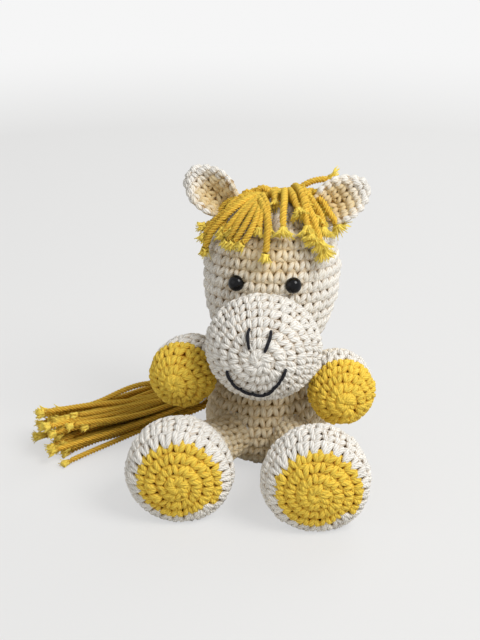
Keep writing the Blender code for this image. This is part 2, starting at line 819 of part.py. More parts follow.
def build_legs(toy):
    """Both legs, with their feet pressed flat on the floor."""
    own = {
        "left": (leg_left_reach_out, leg_left_reach_forward, leg_left_out_shares),
        "right": (leg_right_reach_out, leg_right_reach_forward, leg_right_out_shares),
    }
    height = neck_ball_height * leg_root_height_share
    rise = foot_radius - rest_depth - height
    sole_length = foot_dome * (1 - math.sqrt(1 - sole_radius_share**2))
    for side, word in ((left, "left"), (right, "right")):
        names = ("hip_" + word + "_seam", "leg_" + word, "sole")
        reach_out, reach_forward, out_shares = own[word]
        sizes = (leg_root_angle, height, leg_sink, reach_out, reach_forward)
        sizes += (leg_root_radius, foot_radius)
        shares = (out_shares, leg_forward_shares, leg_swell_shares)
        knots = bent_knots(side, rise, sizes, shares)
        build_limb(toy, side, names, knots, leg_root_angle, foot_dome, sole_length, [toy.floor])


def ball(radius):
    """A ball's outline, from the top down."""
    steps = 8
    angles = [math.pi * k / steps for k in range(1, steps)]
    middle = [(radius * math.sin(a), radius * math.cos(a)) for a in angles]
    return [(0.0, radius)] + middle + [(0.0, -radius)]


def locked(fold):
    """Returns a section's unit coordinates, with folds of a given depth between the tail's locks."""
    places = []
    for k in range(section_points):
        across, over = rounded(k)
        depth = fold * (1 + math.cos(tail_locks * 2 * math.pi * k / section_points)) / 2
        places.append((across * (1 - depth), over * (1 - depth)))
    widest = max(across for across, _ in places)
    tallest = max(over for _, over in places)
    return [(across / widest, over / tallest) for across, over in places]


def build_tail(toy):
    """The tail's knot on the body and its tuft, on a pivot at the knot's middle."""
    away = Vector((math.sin(tail_root_angle), -math.cos(tail_root_angle), 0))
    root_height = neck_ball_height * tail_root_height_share
    reach = radius_at(body_outline(), root_height) + gap + tail_knot_radius
    hinge = away * reach + Vector((0, 0, root_height))
    spot = Matrix.Translation(hinge)
    toy.add("tail_knot", in_frame(turned(ball(tail_knot_radius), inner_sides), spot), toy.yellow)
    pivot = toy.pivot("tail_pivot", spot)
    space = toy.cutter("tail_knot_space", turned(ball(tail_knot_radius + gap), inner_sides), pivot)
    line = []
    table = zip(tail_out_shares, tail_forward_shares, tail_height_shares, tail_hang_shares)
    for out, forward, height, hang in table:
        lying = tail_height * height / 2 + gap - root_height
        line.append(Vector((-tail_length * out, -tail_length * forward, lying * (1 - hang))))
    rings = []
    last = len(line) - 1
    for i, middle in enumerate(line):
        way = line[min(i + 1, last)] - line[max(i - 1, 0)]
        across = Vector((-way.y, way.x, 0)).normalized() * tail_width * tail_width_shares[i] / 2
        up = Vector((0, 0, tail_height * tail_height_shares[i] / 2))
        steps = locked(tail_fold_shares[i])
        rings.append([middle + across * side + up * over for side, over in steps])
    cut(toy.add("tail_yarn", loft(rings), toy.yellow, pivot), space)


def main():
    """Clears the scene and builds the toy."""
    for old in list(bpy.data.objects):
        bpy.data.objects.remove(old)
    toy = Toy()
    build_body(toy)
    build_head(toy)
    build_eyes(toy)
    build_muzzle(toy)
    build_ears(toy)
    build_yarn_on_head(toy)
    build_arms(toy)
    build_legs(toy)
    build_tail(toy)


main()
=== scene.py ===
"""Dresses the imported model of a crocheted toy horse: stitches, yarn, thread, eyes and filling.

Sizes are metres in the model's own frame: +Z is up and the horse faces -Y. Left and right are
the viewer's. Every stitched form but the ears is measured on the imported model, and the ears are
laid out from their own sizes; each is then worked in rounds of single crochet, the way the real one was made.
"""

import json
import logging
import math
from dataclasses import dataclass, field
from enum import Enum
from functools import partial

import bpy
import numpy as np
from mathutils import Matrix, Vector
from mathutils.bvhtree import BVHTree

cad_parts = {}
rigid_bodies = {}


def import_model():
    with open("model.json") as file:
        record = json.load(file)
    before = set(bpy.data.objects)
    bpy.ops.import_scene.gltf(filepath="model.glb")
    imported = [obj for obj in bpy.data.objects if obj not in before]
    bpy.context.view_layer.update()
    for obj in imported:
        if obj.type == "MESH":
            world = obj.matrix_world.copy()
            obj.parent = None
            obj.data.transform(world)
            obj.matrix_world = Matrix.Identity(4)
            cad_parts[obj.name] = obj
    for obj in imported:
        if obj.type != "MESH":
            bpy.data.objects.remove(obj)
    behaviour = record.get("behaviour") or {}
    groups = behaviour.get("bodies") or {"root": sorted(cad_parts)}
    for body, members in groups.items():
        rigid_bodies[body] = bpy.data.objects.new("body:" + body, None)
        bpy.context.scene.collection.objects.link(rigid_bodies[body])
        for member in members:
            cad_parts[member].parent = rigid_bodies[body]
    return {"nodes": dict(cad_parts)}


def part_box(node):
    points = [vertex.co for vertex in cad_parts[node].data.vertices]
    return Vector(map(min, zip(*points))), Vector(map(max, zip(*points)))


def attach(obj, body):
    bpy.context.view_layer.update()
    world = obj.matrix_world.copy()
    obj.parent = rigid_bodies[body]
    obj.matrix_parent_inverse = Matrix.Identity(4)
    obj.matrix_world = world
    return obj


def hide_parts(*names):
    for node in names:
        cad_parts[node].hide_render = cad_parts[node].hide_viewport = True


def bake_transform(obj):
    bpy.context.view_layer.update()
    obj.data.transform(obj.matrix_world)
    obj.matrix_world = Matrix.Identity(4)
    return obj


log = logging.getLogger("plush_horse")

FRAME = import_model()

MM = 0.001
TINY = 1e-9
STITCH_WIDTH = 4.6 * MM
ROUND_HEIGHT = 4.2 * MM
STRAND_RADIUS = 1.2 * MM
TWIST_LENGTH = 9.0 * MM

# Painted shade: a stitch's colour deepens from its crest over the skin to the crease, this far under the crest.
CREST_LIFT = 0.3 * MM
CREASE_DEPTH = 2.1 * MM
# Painted shade: how much deeper and how much warmer a stitch is coloured where the light hardly reaches it.
SHADED_DEPTH_SHARE = 0.75
SHADED_TINT_SHARE = 1.5
# Painted shade on a strand's plies, from crest to groove, and on yarn that lies on nothing, darker on its underside.
PLY_CREST_DEPTH = 0.1
PLY_GROOVE_DEPTH = 1.5
OPEN_DEPTH = 0.25
EVEN_TONE = 0.5

# The skin under the stitches, which takes the crease's painted shade all over.
BACKING_DEPTH = 2.0 * MM
BACKING_STEP = 1.2 * MM
BACKING_TURNS = 48

# How a form is measured: rays round each step down its middle line, with the finest steps at the pole.
TURNS = 72
SPINE_STEP = 0.8 * MM
POLE_STEPS = 0.05 * MM * 1.3 ** np.arange(13)
POLE_SHARES = (0.01, 0.25, 0.5, 0.75)
LEAST_HIT_SHARE = 0.7
MOST_REACH_SHARE = 0.78
OPEN_RING_ANGLE = 0.6

# Where a knot's winding begins, and its steps in a turn.
WRAP_START = np.array([0.1, 0.3, 1.0])
WRAP_STEPS = 26

Array = np.ndarray
Material = bpy.types.Material
Object = bpy.types.Object


# ---- small helpers


def linear(code: str) -> tuple[float, float, float, float]:
    """Turns an sRGB hex colour into the linear values that a socket holds.

    Args:
        code: six hex digits, such as "ece2cc".

    Returns:
        Red, green, blue and an alpha of one.
    """
    values = [int(code[i : i + 2], 16) / 255 for i in (0, 2, 4)]
    red, green, blue = ((v / 12.92) if v <= 0.04045 else ((v + 0.055) / 1.055) ** 2.4 for v in values)
    return red, green, blue, 1.0


def add_node(tree: bpy.types.NodeTree, kind: str, sockets: dict | None = None, **settings) -> bpy.types.Node:
    """Adds one node with its settings, and fills or joins its inputs.

    Args:
        tree: the node tree that gets the node.
        kind: the node's type name.
        sockets: input name or number to a plain value, or to the output or the node that feeds it.
        **settings: properties of the node itself.

    Returns:
        The new node.
    """
    made = tree.nodes.new(kind)
    for key, value in settings.items():
        setattr(made, key, value)
    for key, value in (sockets or {}).items():
        value = value.outputs[0] if isinstance(value, bpy.types.Node) else value
        if isinstance(value, bpy.types.NodeSocket):
            tree.links.new(value, made.inputs[key])
        else:
            made.inputs[key].default_value = value
    return made


def new_material(name: str, sockets: dict) -> tuple[Material, bpy.types.NodeTree, bpy.types.Node]:
    """Makes a material and fills its shader's own sockets.

    Args:
        name: the material's name.
        sockets: input name of the shader to a plain value.

    Returns:
        The material, its node tree and its shader.
    """
    material = bpy.data.materials.new(name)
    material.use_nodes = True
    shader = material.node_tree.nodes["Principled BSDF"]
    for key, value in sockets.items():
        shader.inputs[key].default_value = value
    return material, material.node_tree, shader


def add_object(name: str, data: bpy.types.ID) -> Object:
    """Makes an object of some data and links it into the scene."""
    made = bpy.data.objects.new(name, data)
    bpy.context.scene.collection.objects.link(made)
    return made


def unit(vectors: Array) -> Array:
    """Returns the vectors along the last axis at length one."""
    return vectors / np.maximum(np.linalg.norm(vectors, axis=-1, keepdims=True), 1e-12)


def smooth(knots: Array, count: int) -> Array:
    """Samples a smooth curve through knots.

    Args:
        knots: one row of numbers for each knot.
        count: how many samples to take, evenly by knot.

    Returns:
        The samples, one row each, the first and last on the end knots.
    """
    knots = np.asarray(knots, float)
    at = np.linspace(0, len(knots) - 1, count)
    i = np.minimum(at.astype(int), len(knots) - 2)
    t = (at - i)[:, None]
    before, start = knots[np.maximum(i - 1, 0)], knots[i]
    end, after = knots[i + 1], knots[np.minimum(i + 2, len(knots) - 1)]
    slope_in, slope_out = (end - before) / 2, (after - start) / 2
    rise = end - start
    return start + t * (slope_in + t * ((3 * rise - 2 * slope_in - slope_out) + t * (slope_in + slope_out - 2 * rise)))


def run_along(path: Array) -> Array:
    """Returns the distance to each point of a path from its first one."""
    return np.concatenate([[0.0], np.cumsum(np.linalg.norm(np.diff(path, axis=0), axis=1))])


def read_along(grid: Array, run: Array, at: Array) -> Array:
    """Reads rows of three numbers, which stand at distances along a path, at other distances."""
    return np.stack([np.interp(at, run, grid[:, k]) for k in range(3)], 1)


def ring_quads(rings: int, turns: int) -> Array:
    """Returns the faces between rings of points that are numbered ring by ring."""
    i, j = np.meshgrid(np.arange(rings - 1), np.arange(turns), indexing="ij")
    nxt = (j + 1) % turns
    return np.stack([i * turns + j, i * turns + nxt, (i + 1) * turns + nxt, (i + 1) * turns + j], -1).reshape(-1, 4)


def waves_round(angle: Array, waves: int) -> Array:
    """Returns one, and each wave's cosine and sine, for every angle."""
    return np.stack([np.ones_like(angle)] + [f(w * angle) for w in range(1, waves + 1) for f in (np.cos, np.sin)], -1)


def deselect() -> None:
    """Deselects every object."""
    for o in bpy.context.scene.objects:
        o.select_set(False)


def world_mesh(name: str) -> tuple[Array, Array]:
    """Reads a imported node's points and triangles in the model's frame."""
    node = FRAME["nodes"][name]
    mesh = node.data
    points = np.empty(len(mesh.vertices) * 3)
    mesh.vertices.foreach_get("co", points)
    mesh.calc_loop_triangles()
    faces = np.empty(len(mesh.loop_triangles) * 3, int)
    mesh.loop_triangles.foreach_get("vertices", faces)
    matrix = np.array(node.matrix_world)
    return points.reshape(-1, 3) @ matrix[:3, :3].T + matrix[:3, 3], faces.reshape(-1, 3)


# ---- finishes


@dataclass(frozen=True)
class CottonYarn:
    """Worsted cotton, spun in plies: soft and matt, with fine twisted lines, and painted shade in its ply grooves and
    creases.

    Its second colour is that of the light fibre at a cut end, and the warm painted shade of a cream stitch out of the
    light.
    """

    name: str
    crest: str
    crease: str
    second: str
    plies: int = 6
    roughness: float = 0.78
    sheen: float = 0.25
    sheen_roughness: float = 0.5
    specular: float = 0.25
    groove_share: float = 0.34
    groove_width: float = 0.6
    tone_share: float = 0.10
    tones: tuple[float, float] = (0.3, 1.7)
    fibres_per_mm: float = 2.6
    patches_per_mm: float = 0.06
    fuzz_share: float = 0.5
    firmness: float = 0.8
    bump_distance: float = 0.22 * MM

    def make(self) -> Material:
        """Returns the material, which follows the yarn map and the depth, tone and second attributes; the depth gives
        its painted shade.
        """
        look = {"Roughness": self.roughness, "Sheen Weight": self.sheen, "Sheen Roughness": self.sheen_roughness}
        look |= {"Sheen Tint": linear(self.crest), "Specular IOR Level": self.specular}
        material, tree, shader = new_material(self.name, look)
        node = partial(add_node, tree)
        parts = node("ShaderNodeSeparateXYZ", {0: node("ShaderNodeUVMap", uv_map="yarn")})
        turn = node("ShaderNodeMath", {0: parts.outputs[0], 1: parts.outputs[1]}, operation="ADD")
        phase = node("ShaderNodeMath", {0: turn, 1: math.pi * self.plies}, operation="MULTIPLY")
        ply = node("ShaderNodeMath", {0: node("ShaderNodeMath", {0: phase}, operation="SINE")}, operation="ABSOLUTE")
        place = node("ShaderNodeTexCoord").outputs["Object"]
        fine = {"Vector": place, "Scale": self.fibres_per_mm / MM, "Detail": 2.0, "Roughness": 0.6}
        fibre = node("ShaderNodeTexNoise", fine)
        patch = node("ShaderNodeTexNoise", {"Vector": place, "Scale": self.patches_per_mm / MM, "Detail": 1.0})
        depth, tone, second = (
            node("ShaderNodeAttribute", attribute_name=name).outputs["Fac"] for name in ("depth", "tone", "second")
        )
        # Painted shade: the ply grooves and the depth attribute turn the crest colour to the crease colour.
        low = {"Value": ply, "From Max": self.groove_width, "To Min": self.groove_share, "To Max": 0.0}
        groove = node("ShaderNodeMapRange", low)
        deep = node("ShaderNodeMapRange", {"Value": depth, "From Min": OPEN_DEPTH})
        shade = node("ShaderNodeMath", {0: deep, 1: groove}, operation="ADD", use_clamp=True)
        colour = node("ShaderNodeMix", {0: shade, 6: linear(self.crest), 7: linear(self.crease)}, data_type="RGBA")
        # The second colour: the light fibre of a cut end, and warm painted shade on cream stitches.
        both = node("ShaderNodeMix", {0: second, 6: colour.outputs[2], 7: linear(self.second)}, data_type="RGBA")
        mixed = node("ShaderNodeMath", {0: tone, 1: patch}, operation="ADD")
        steps = {"Value": mixed, "From Min": self.tones[0], "From Max": self.tones[1]}
        steps |= {"To Min": 1 - self.tone_share, "To Max": 1 + self.tone_share / 2}
        value = node("ShaderNodeMapRange", steps)
        toned = node("ShaderNodeHueSaturation", {"Value": value, "Color": both.outputs[2]})
        tree.links.new(toned.outputs[0], shader.inputs["Base Color"])
        fuzz = node("ShaderNodeMath", {0: fibre, 1: self.fuzz_share}, operation="MULTIPLY")
        height = node("ShaderNodeMath", {0: ply, 1: fuzz}, operation="ADD")
        loose = node("ShaderNodeMath", {0: second, 1: 2.0}, operation="POWER")
        firm = node("ShaderNodeMath", {0: self.firmness, 1: loose}, operation="SUBTRACT", use_clamp=True)
        bump = node("ShaderNodeBump", {"Height": height, "Strength": firm, "Distance": self.bump_distance})
        tree.links.new(bump.outputs[0], shader.inputs["Normal"])
        return material


@dataclass(frozen=True)
class PlainFinish:
    """A moulded or spun finish: one colour that varies a little, with a fine bump."""

    name: str
    colour: str
    shade: str
    roughness: float
    grain: float
    bump_distance: float
    specular: float = 0.4
    sheen: float = 0.0
    bump_strength: float = 0.5

    def make(self) -> Material:
        """Returns the material. Its grain is a real size, in metres."""
        look = {"Roughness": self.roughness, "Specular IOR Level": self.specular, "Sheen Weight": self.sheen}
        material, tree, shader = new_material(self.name, look)
        node = partial(add_node, tree)
        place = node("ShaderNodeTexCoord").outputs["Object"]
        noise = node("ShaderNodeTexNoise", {"Vector": place, "Scale": 1 / self.grain, "Detail": 3.0})
        colour = node("ShaderNodeMix", {0: noise, 6: linear(self.shade), 7: linear(self.colour)}, data_type="RGBA")
        tree.links.new(colour.outputs[2], shader.inputs["Base Color"])
        bump = node("ShaderNodeBump", {"Height": noise, "Strength": self.bump_strength, "Distance": self.bump_distance})
        tree.links.new(bump.outputs[0], shader.inputs["Normal"])
        return material


# ---- yarn as geometry


class Skein:
    """Gathers swept yarn and backing into the one mesh of a piece."""

    def __init__(self) -> None:
        """Starts with nothing in it."""
        self.points: list[Array] = []
        self.depth: list[Array] = []
        self.tone: list[Array] = []
        self.second: list[Array] = []
        self.loops: list[Array] = []
        self.sizes: list[Array] = []
        self.maps: list[Array] = []
        self.count = 0

    def _faces(self, faces: Array, maps: Array) -> None:
        """Adds faces of one size, numbered from the points that were just added."""
        self.loops.append((faces + self.count).ravel())
        self.sizes.append(np.full(len(faces), faces.shape[1]))
        self.maps.append(maps.reshape(-1, 2))

    def sweep(
        self,
        paths: Array,
        ups: Array,
        radii: Array,
        sides: int = 8,
        lifts: Array | None = None,
        tones: Array | None = None,
        second: float | Array = 0.0,
        profile: Array | None = None,
    ) -> None:
        """Sweeps a round section along many paths at once.

        Args:
            paths: strands by stations by three.
            ups: the way out of the surface at each station.
            radii: strands by stations.
            sides: points of the section.
            lifts: height of each station over the form's skin, for the crease's shade.
            tones: one number from 0 to 1 for each strand.
            second: how much each strand takes of its yarn's second colour.
            profile: the section's own radius at each side, where its plies are modelled.
        """
        strands, stations = paths.shape[:2]
        along = unit(np.gradient(paths, axis=1))
        side = unit(np.cross(along, ups))
        over = np.cross(side, along)
        angle = 2 * np.pi * np.arange(sides) / sides
        across, height = np.cos(angle), np.sin(angle)
        ring = side[:, :, None] * across[:, None] + over[:, :, None] * height[:, None]
        bulge = np.ones(sides) if profile is None else profile
        points = paths[:, :, None] + radii[:, :, None, None] * bulge[:, None] * ring
        points[..., 2] = np.maximum(points[..., 2], 0.0)
        rise = radii[:, :, None] * height
        # Painted shade: deep in the ply grooves, in the crease under a stitch's crest, and on the underside of loose
        # yarn.
        if profile is not None:
            depth = np.broadcast_to(PLY_CREST_DEPTH + PLY_GROOVE_DEPTH * (bulge.max() - bulge), points.shape[:3])
        elif lifts is None:
            depth = OPEN_DEPTH - OPEN_DEPTH * rise / np.maximum(radii[:, :, None], TINY)
        else:
            depth = (CREST_LIFT - (lifts[:, :, None] + rise)) / CREASE_DEPTH
        if tones is None:
            tones = np.full(strands, EVEN_TONE)
        run = np.cumsum(np.linalg.norm(np.diff(paths, axis=1), axis=2), axis=1)
        run = np.concatenate([np.zeros((strands, 1)), run], axis=1) / TWIST_LENGTH
        if profile is not None:
            run *= 0.0
        n, m, k = np.meshgrid(np.arange(strands), np.arange(stations - 1), np.arange(sides), indexing="ij")
        near = (n * stations + m) * sides
        far = near + sides
        nxt = (k + 1) % sides
        quads = np.stack([near + k, far + k, far + nxt, near + nxt], -1).reshape(-1, 4)
        low, high = run[:, :-1, None] + 0 * k, run[:, 1:, None] + 0 * k
        u0, u1 = k / sides, (k + 1) / sides
        maps = np.stack([u0, low, u0, high, u1, high, u1, low], -1).reshape(-1, 4, 2)
        self._faces(quads, maps)
        first = (np.arange(strands) * stations * sides)[:, None] + np.arange(sides)
        last = first + (stations - 1) * sides
        for cap, at in ((first, run[:, 0]), (last[:, ::-1], run[:, -1])):
            self._faces(cap, np.stack([np.full(cap.shape, 0.5), np.repeat(at[:, None], sides, 1)], -1))
        self.points.append(points.reshape(-1, 3))
        self.depth.append(np.clip(depth, 0, 1).reshape(-1))
        self.tone.append(np.repeat(tones, stations * sides))
        self.second.append(np.repeat(np.broadcast_to(second, strands), stations * sides))
        self.count += strands * stations * sides

    def backing(self, grid: Array) -> None:
        """Adds the closed skin that lies under the stitches, from a grid of rings of points."""
        rings, turns = grid.shape[:2]
        quads = ring_quads(rings, turns)
        self._faces(quads, np.zeros((len(quads), 4, 2)))
        ends = (np.arange(turns)[None, ::-1], np.arange(turns)[None] + (rings - 1) * turns)
        for cap in ends:
            self._faces(cap, np.zeros((1, turns, 2)))
        points = grid.reshape(-1, 3).copy()
        points[:, 2] = np.maximum(points[:, 2], 0.0)
        self.points.append(points)
        # The backing is painted with the full shade of a crease.
        self.depth.append(np.ones(len(points)))
        self.tone.append(np.full(len(points), EVEN_TONE))
        self.second.append(np.zeros(len(points)))
        self.count += len(points)

    def piece(self, name: str, material: Material) -> Object:
        """Makes the object that holds all that was gathered.

        Args:
            name: the piece's name.
            material: its finish.

        Returns:
            The object, at the origin and shaded smooth.
        """
        mesh = bpy.data.meshes.new(name)
        points = np.concatenate(self.points)
        loops, sizes = np.concatenate(self.loops), np.concatenate(self.sizes)
        mesh.vertices.add(len(points))
        mesh.vertices.foreach_set("co", points.ravel())
        mesh.loops.add(len(loops))
        mesh.loops.foreach_set("vertex_index", loops)
        mesh.polygons.add(len(sizes))
        mesh.polygons.foreach_set("loop_start", np.concatenate([[0], np.cumsum(sizes)[:-1]]))
        mesh.update(calc_edges=True)
        mesh.validate()
        mesh.uv_layers.new(name="yarn").data.foreach_set("uv", np.concatenate(self.maps).ravel())
        for key, values in (("depth", self.depth), ("tone", self.tone), ("second", self.second)):
            mesh.attributes.new(key, "FLOAT", "POINT").data.foreach_set("value", np.concatenate(values))
        mesh.polygons.foreach_set("use_smooth", np.ones(len(sizes), bool))
        mesh.materials.append(material)
        log.info("%s: %d faces", name, len(sizes))
        return add_object(name, mesh)


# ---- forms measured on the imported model


@dataclass
class Form:
    """A stuffed form's skin, as rings of points from its pole to its open end."""

    skin: Array
    normals: Array = field(init=False)
    arc: Array = field(init=False)
    spine: Array = field(init=False)
    radius: Array = field(init=False)
    girth: Array = field(init=False)

    def __post_init__(self) -> None:
        """Works out the normals, the distance down the skin, the middle line and the girth."""
        self.spine = self.skin.mean(axis=1)
        self.radius = np.linalg.norm(self.skin - self.spine[:, None], axis=2).mean(axis=1)
        down = np.gradient(self.skin, axis=0)
        around = np.roll(self.skin, -1, axis=1) - np.roll(self.skin, 1, axis=1)
        normals = unit(np.cross(around, down))
        outward = np.sum(normals * (self.skin - self.spine[:, None]), axis=2)
        if outward[len(outward) // 2 :].mean() < 0:
            normals = -normals
        normals[0] = unit(normals[1].mean(axis=0))
        self.normals = normals
        steps = np.linalg.norm(np.diff(self.skin, axis=0), axis=2).mean(axis=1)
        self.arc = np.concatenate([[0.0], np.cumsum(steps)])
        self.girth = np.linalg.norm(np.roll(self.skin, -1, axis=1) - self.skin, axis=2).sum(axis=1)

    def at(self, arc: Array, turn: Array) -> tuple[Array, Array]:
        """Reads the skin.

        Args:
            arc: distances down the skin from the pole.
            turn: shares of a full turn.

        Returns:
            The points on the skin, and the ways out of it there.
        """
        row = np.interp(arc, self.arc, np.arange(len(self.arc)))
        i = np.minimum(row.astype(int), len(self.arc) - 2)
        s = (row - i)[..., None]
        column = (turn % 1.0) * self.skin.shape[1]
        j = column.astype(int) % self.skin.shape[1]
        t = (column - np.floor(column))[..., None]
        k = (j + 1) % self.skin.shape[1]

        def read(grid: Array) -> Array:
            """Blends the four grid values round each place."""
            near = grid[i, j] * (1 - t) + grid[i, k] * t
            far = grid[i + 1, j] * (1 - t) + grid[i + 1, k] * t
            return near * (1 - s) + far * s

        return read(self.skin), unit(read(self.normals))

    def inside(self, points: Array, depth: float) -> Array:
        """Tells which points lie deeper in the form than a depth, and not past its open end."""
        away = np.linalg.norm(points[:, None] - self.spine[None], axis=2)
        past = (points - self.spine[-1]) @ unit(self.spine[-1] - self.spine[-4]) > -depth
        return (away < np.maximum(self.radius - depth, 0.0)[None]).any(axis=1) & ~past


def frame_round(way: Array, first: Array) -> tuple[Array, Array]:
    """Returns two unit directions square to a way, the first one nearest to the direction given."""
    across = unit(first - way * np.dot(first, way))
    return across, np.cross(way, across)


def solid_tree(names: list[str]) -> BVHTree:
    """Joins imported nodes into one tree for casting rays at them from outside.

    Args:
        names: the nodes that make up a form's cover.

    Returns:
        The tree.
    """
    points, faces, count = [], [], 0
    for name in names:
        v, f = world_mesh(name)
        points.append(v)
        faces.append(f + count)
        count += len(v)
    return BVHTree.FromPolygons(np.concatenate(points).tolist(), np.concatenate(faces).tolist())


def measure(tree: BVHTree, spine: Array, first: Array, limit: float | Array, waves: int = 2) -> Form:
    """Measures a form's skin square to its spine, from outside.

    Args:
        tree: the form's cover.
        spine: points from just inside the pole to the open end.
        first: the direction in which the rounds begin. They go clockwise, seen from the pole.
        limit: a length that no part of the skin is away from the spine, or one for each point of it.
        waves: how many waves round the section are kept, 2 for an oval one.

    Returns:
        The form.
    """
    ways = unit(np.gradient(spine, axis=0))
    angle = 2 * np.pi * np.arange(TURNS) / TURNS
    basis = waves_round(angle, waves)
    rings, across, weights = [], first, None
    limits = np.broadcast_to(limit, len(spine)).tolist()
    for place, way, limit in zip(spine, ways, limits):
        across, over = frame_round(way, across)
        rays = across * np.cos(angle)[:, None] + over * np.sin(angle)[:, None]
        reach = np.full(TURNS, np.nan)
        for k, ray in enumerate(rays):
            hit = tree.ray_cast(Vector(place + ray * limit), Vector(-ray), limit)
            if hit[0] is not None:
                reach[k] = limit - hit[3]
        good = ~np.isnan(reach)
        if good.mean() > LEAST_HIT_SHARE:
            weights = np.linalg.lstsq(basis[good], reach[good], rcond=None)[0]
        elif weights is None:
            continue
        rings.append(place + rays * np.clip(basis @ weights, 0.0, MOST_REACH_SHARE * limit)[:, None])
    centre = rings[0].mean(axis=0)
    cap = [centre + (rings[0] - centre) * share for share in POLE_SHARES]
    return Form(np.array(cap + rings))


def straight_spine(pole: Array, way: Array, length: float) -> Array:
    """Points down a straight middle line, close together near the pole."""
    steps = np.concatenate([POLE_STEPS[:-1], np.arange(2 * SPINE_STEP, length, SPINE_STEP)])
    return pole + way * steps[:, None]


# ---- single crochet


@dataclass(frozen=True)
class Stitch:
    """One single crochet stitch, in stitch widths, round heights and millimetres of lift.

    Its two legs rise from the hole where it was worked, spread into a V, and tuck under the
    next round. A loop lies across its top.
    """

    leg: tuple = (
        (0.05, -0.17, -2.1, 0.66),
        (0.11, -0.01, -1.40, 0.95),
        (0.20, 0.24, -0.78, 1.16),
        (0.28, 0.48, -0.72, 1.22),
        (0.34, 0.71, -1.20, 1.10),
        (0.38, 0.91, -2.2, 0.82),
    )
    loop: tuple = (
        (-0.50, 0.95, -1.75, 0.62),
        (-0.25, 0.86, -1.30, 0.88),
        (0.0, 0.76, -1.20, 1.00),
        (0.25, 0.86, -1.30, 0.88),
        (0.50, 0.95, -1.75, 0.62),
    )
    slant: float = 0.12
    leg_sides: int = 6
    loop_sides: int = 5
    # How far a tooth's foot reaches up the stitch, drops into the round before and stands over it.
    foot_share: float = 0.25
    foot_drop: float = 0.26
    foot_lift: float = 0.75 * MM
    # The hand's unevenness in yarn, lift, slant, place and thickness along the yarn.
    uneven_yarn: float = 0.05
    uneven_lift: float = 0.14 * MM
    uneven_slant: float = 0.07
    uneven_place: float = 0.025
    uneven_thickness: float = 0.04


@dataclass
class Rounds:
    """The places of the stitches of a form, worked in one spiral from its pole."""

    form: Form
    height: float = ROUND_HEIGHT
    width: float = STITCH_WIDTH
    yarn: float = 1.0
    least: int = 6
    arc: Array = field(init=False)
    turn: Array = field(init=False)
    share: Array = field(init=False)
    rise: Array = field(init=False)
    number: Array = field(init=False)

    def __post_init__(self) -> None:
        """Lists the stitches, one after another up the spiral."""
        rows = []
        turn = 0.0
        while (turn + 0.5) * self.height < self.form.arc[-1]:
            arc = (turn + 0.25) * self.height if turn > 1 else 0.7 * self.height
            girth = np.interp(arc, self.form.arc, self.form.girth)
            count = max(self.least, round(girth / self.width - 0.5) + 0.5)
            middle = turn + 0.5 / count
            low = self.height * (middle - 0.5 if middle > 1 else 0.2)
            high = self.height * (middle + 0.5)
            rows.append((low, middle, 1 / count, high - low, int(middle)))
            turn += 1 / count
        self.arc, self.turn, self.share, self.rise, self.number = np.array(rows).T

    def places(self) -> Array:
        """The middle of each stitch on the form's skin."""
        return self.form.at(self.arc + self.rise / 2, self.turn)[0]

    def work(
        self,
        skein: Skein,
        rng: np.random.Generator,
        keep: Array,
        shade: Array | None = None,
        teeth: Array | None = None,
    ) -> None:
        """Works the stitches into a skein.

        Args:
            skein: what gets the yarn.
            rng: the hand's unevenness.
            keep: which stitches to work.
            shade: how much painted shade, darker and warmer, each stitch takes beside one on an open skin.
            teeth: 1 for each stitch whose foot shows on the other colour that it is worked into.
        """
        stitch = Stitch()
        count = int(keep.sum())
        shade = np.zeros(count) if shade is None else shade[keep]
        teeth = np.zeros(count) if teeth is None else teeth[keep]
        arc, turn, share, rise = self.arc[keep], self.turn[keep], self.share[keep], self.rise[keep]
        tone = rng.random(count)
        loose = self.yarn * (1 + rng.normal(0, stitch.uneven_yarn, count))
        puff = rng.normal(0, stitch.uneven_lift, count)
        lean = stitch.slant + rng.normal(0, stitch.uneven_slant, count)
        legs = [(stitch.leg, side, stitch.leg_sides) for side in (1, -1)]
        for line, side, sides in (*legs, (stitch.loop, 1, stitch.loop_sides)):
            u, v, lift, radius = np.array(line).T
            shift = rng.normal(0, stitch.uneven_place, count)[:, None]
            across = side * u + lean[:, None] * (v - 0.5) + shift
            foot = teeth[:, None] * np.clip(1 - v / stitch.foot_share, 0, None)
            place = arc[:, None] + rise[:, None] * (v - stitch.foot_drop * foot)
            around = turn[:, None] + share[:, None] * across
            points, ups = self.form.at(np.maximum(place, 0.15 * MM), around)
            lifts = lift * MM + stitch.foot_lift * foot + puff[:, None]
            radii = radius * MM * loose[:, None] * (1 + rng.normal(0, stitch.uneven_thickness, (count, 1)))
            # Painted shade: a stitch out of the light is coloured deeper and warmer.
            deeper = SHADED_DEPTH_SHARE * shade[:, None] * CREASE_DEPTH
            paths = points + ups * lifts[..., None]
            skein.sweep(paths, ups, radii, sides, lifts - deeper, tone, SHADED_TINT_SHARE * shade)

    def back(self, skein: Skein, start: float = 0.0, end: float | None = None, depth: float = BACKING_DEPTH) -> None:
        """Adds the backing between two distances down the skin."""
        end = self.form.arc[-1] if end is None else end
        arcs = np.linspace(start, end, max(4, int((end - start) / BACKING_STEP)))
        turns = np.arange(BACKING_TURNS) / BACKING_TURNS
        grid_arc, grid_turn = np.meshgrid(np.maximum(arcs, 0.1 * MM), turns, indexing="ij")
        points, ups = self.form.at(grid_arc, grid_turn)
        grid = points - ups * depth
        normal = np.cross(grid[1, 1] - grid[1, 0], grid[2, 0] - grid[1, 0])
        skein.backing(grid if np.dot(normal, ups[1, 0]) > 0 else grid[:, ::-1])


# ---- the photograph's view


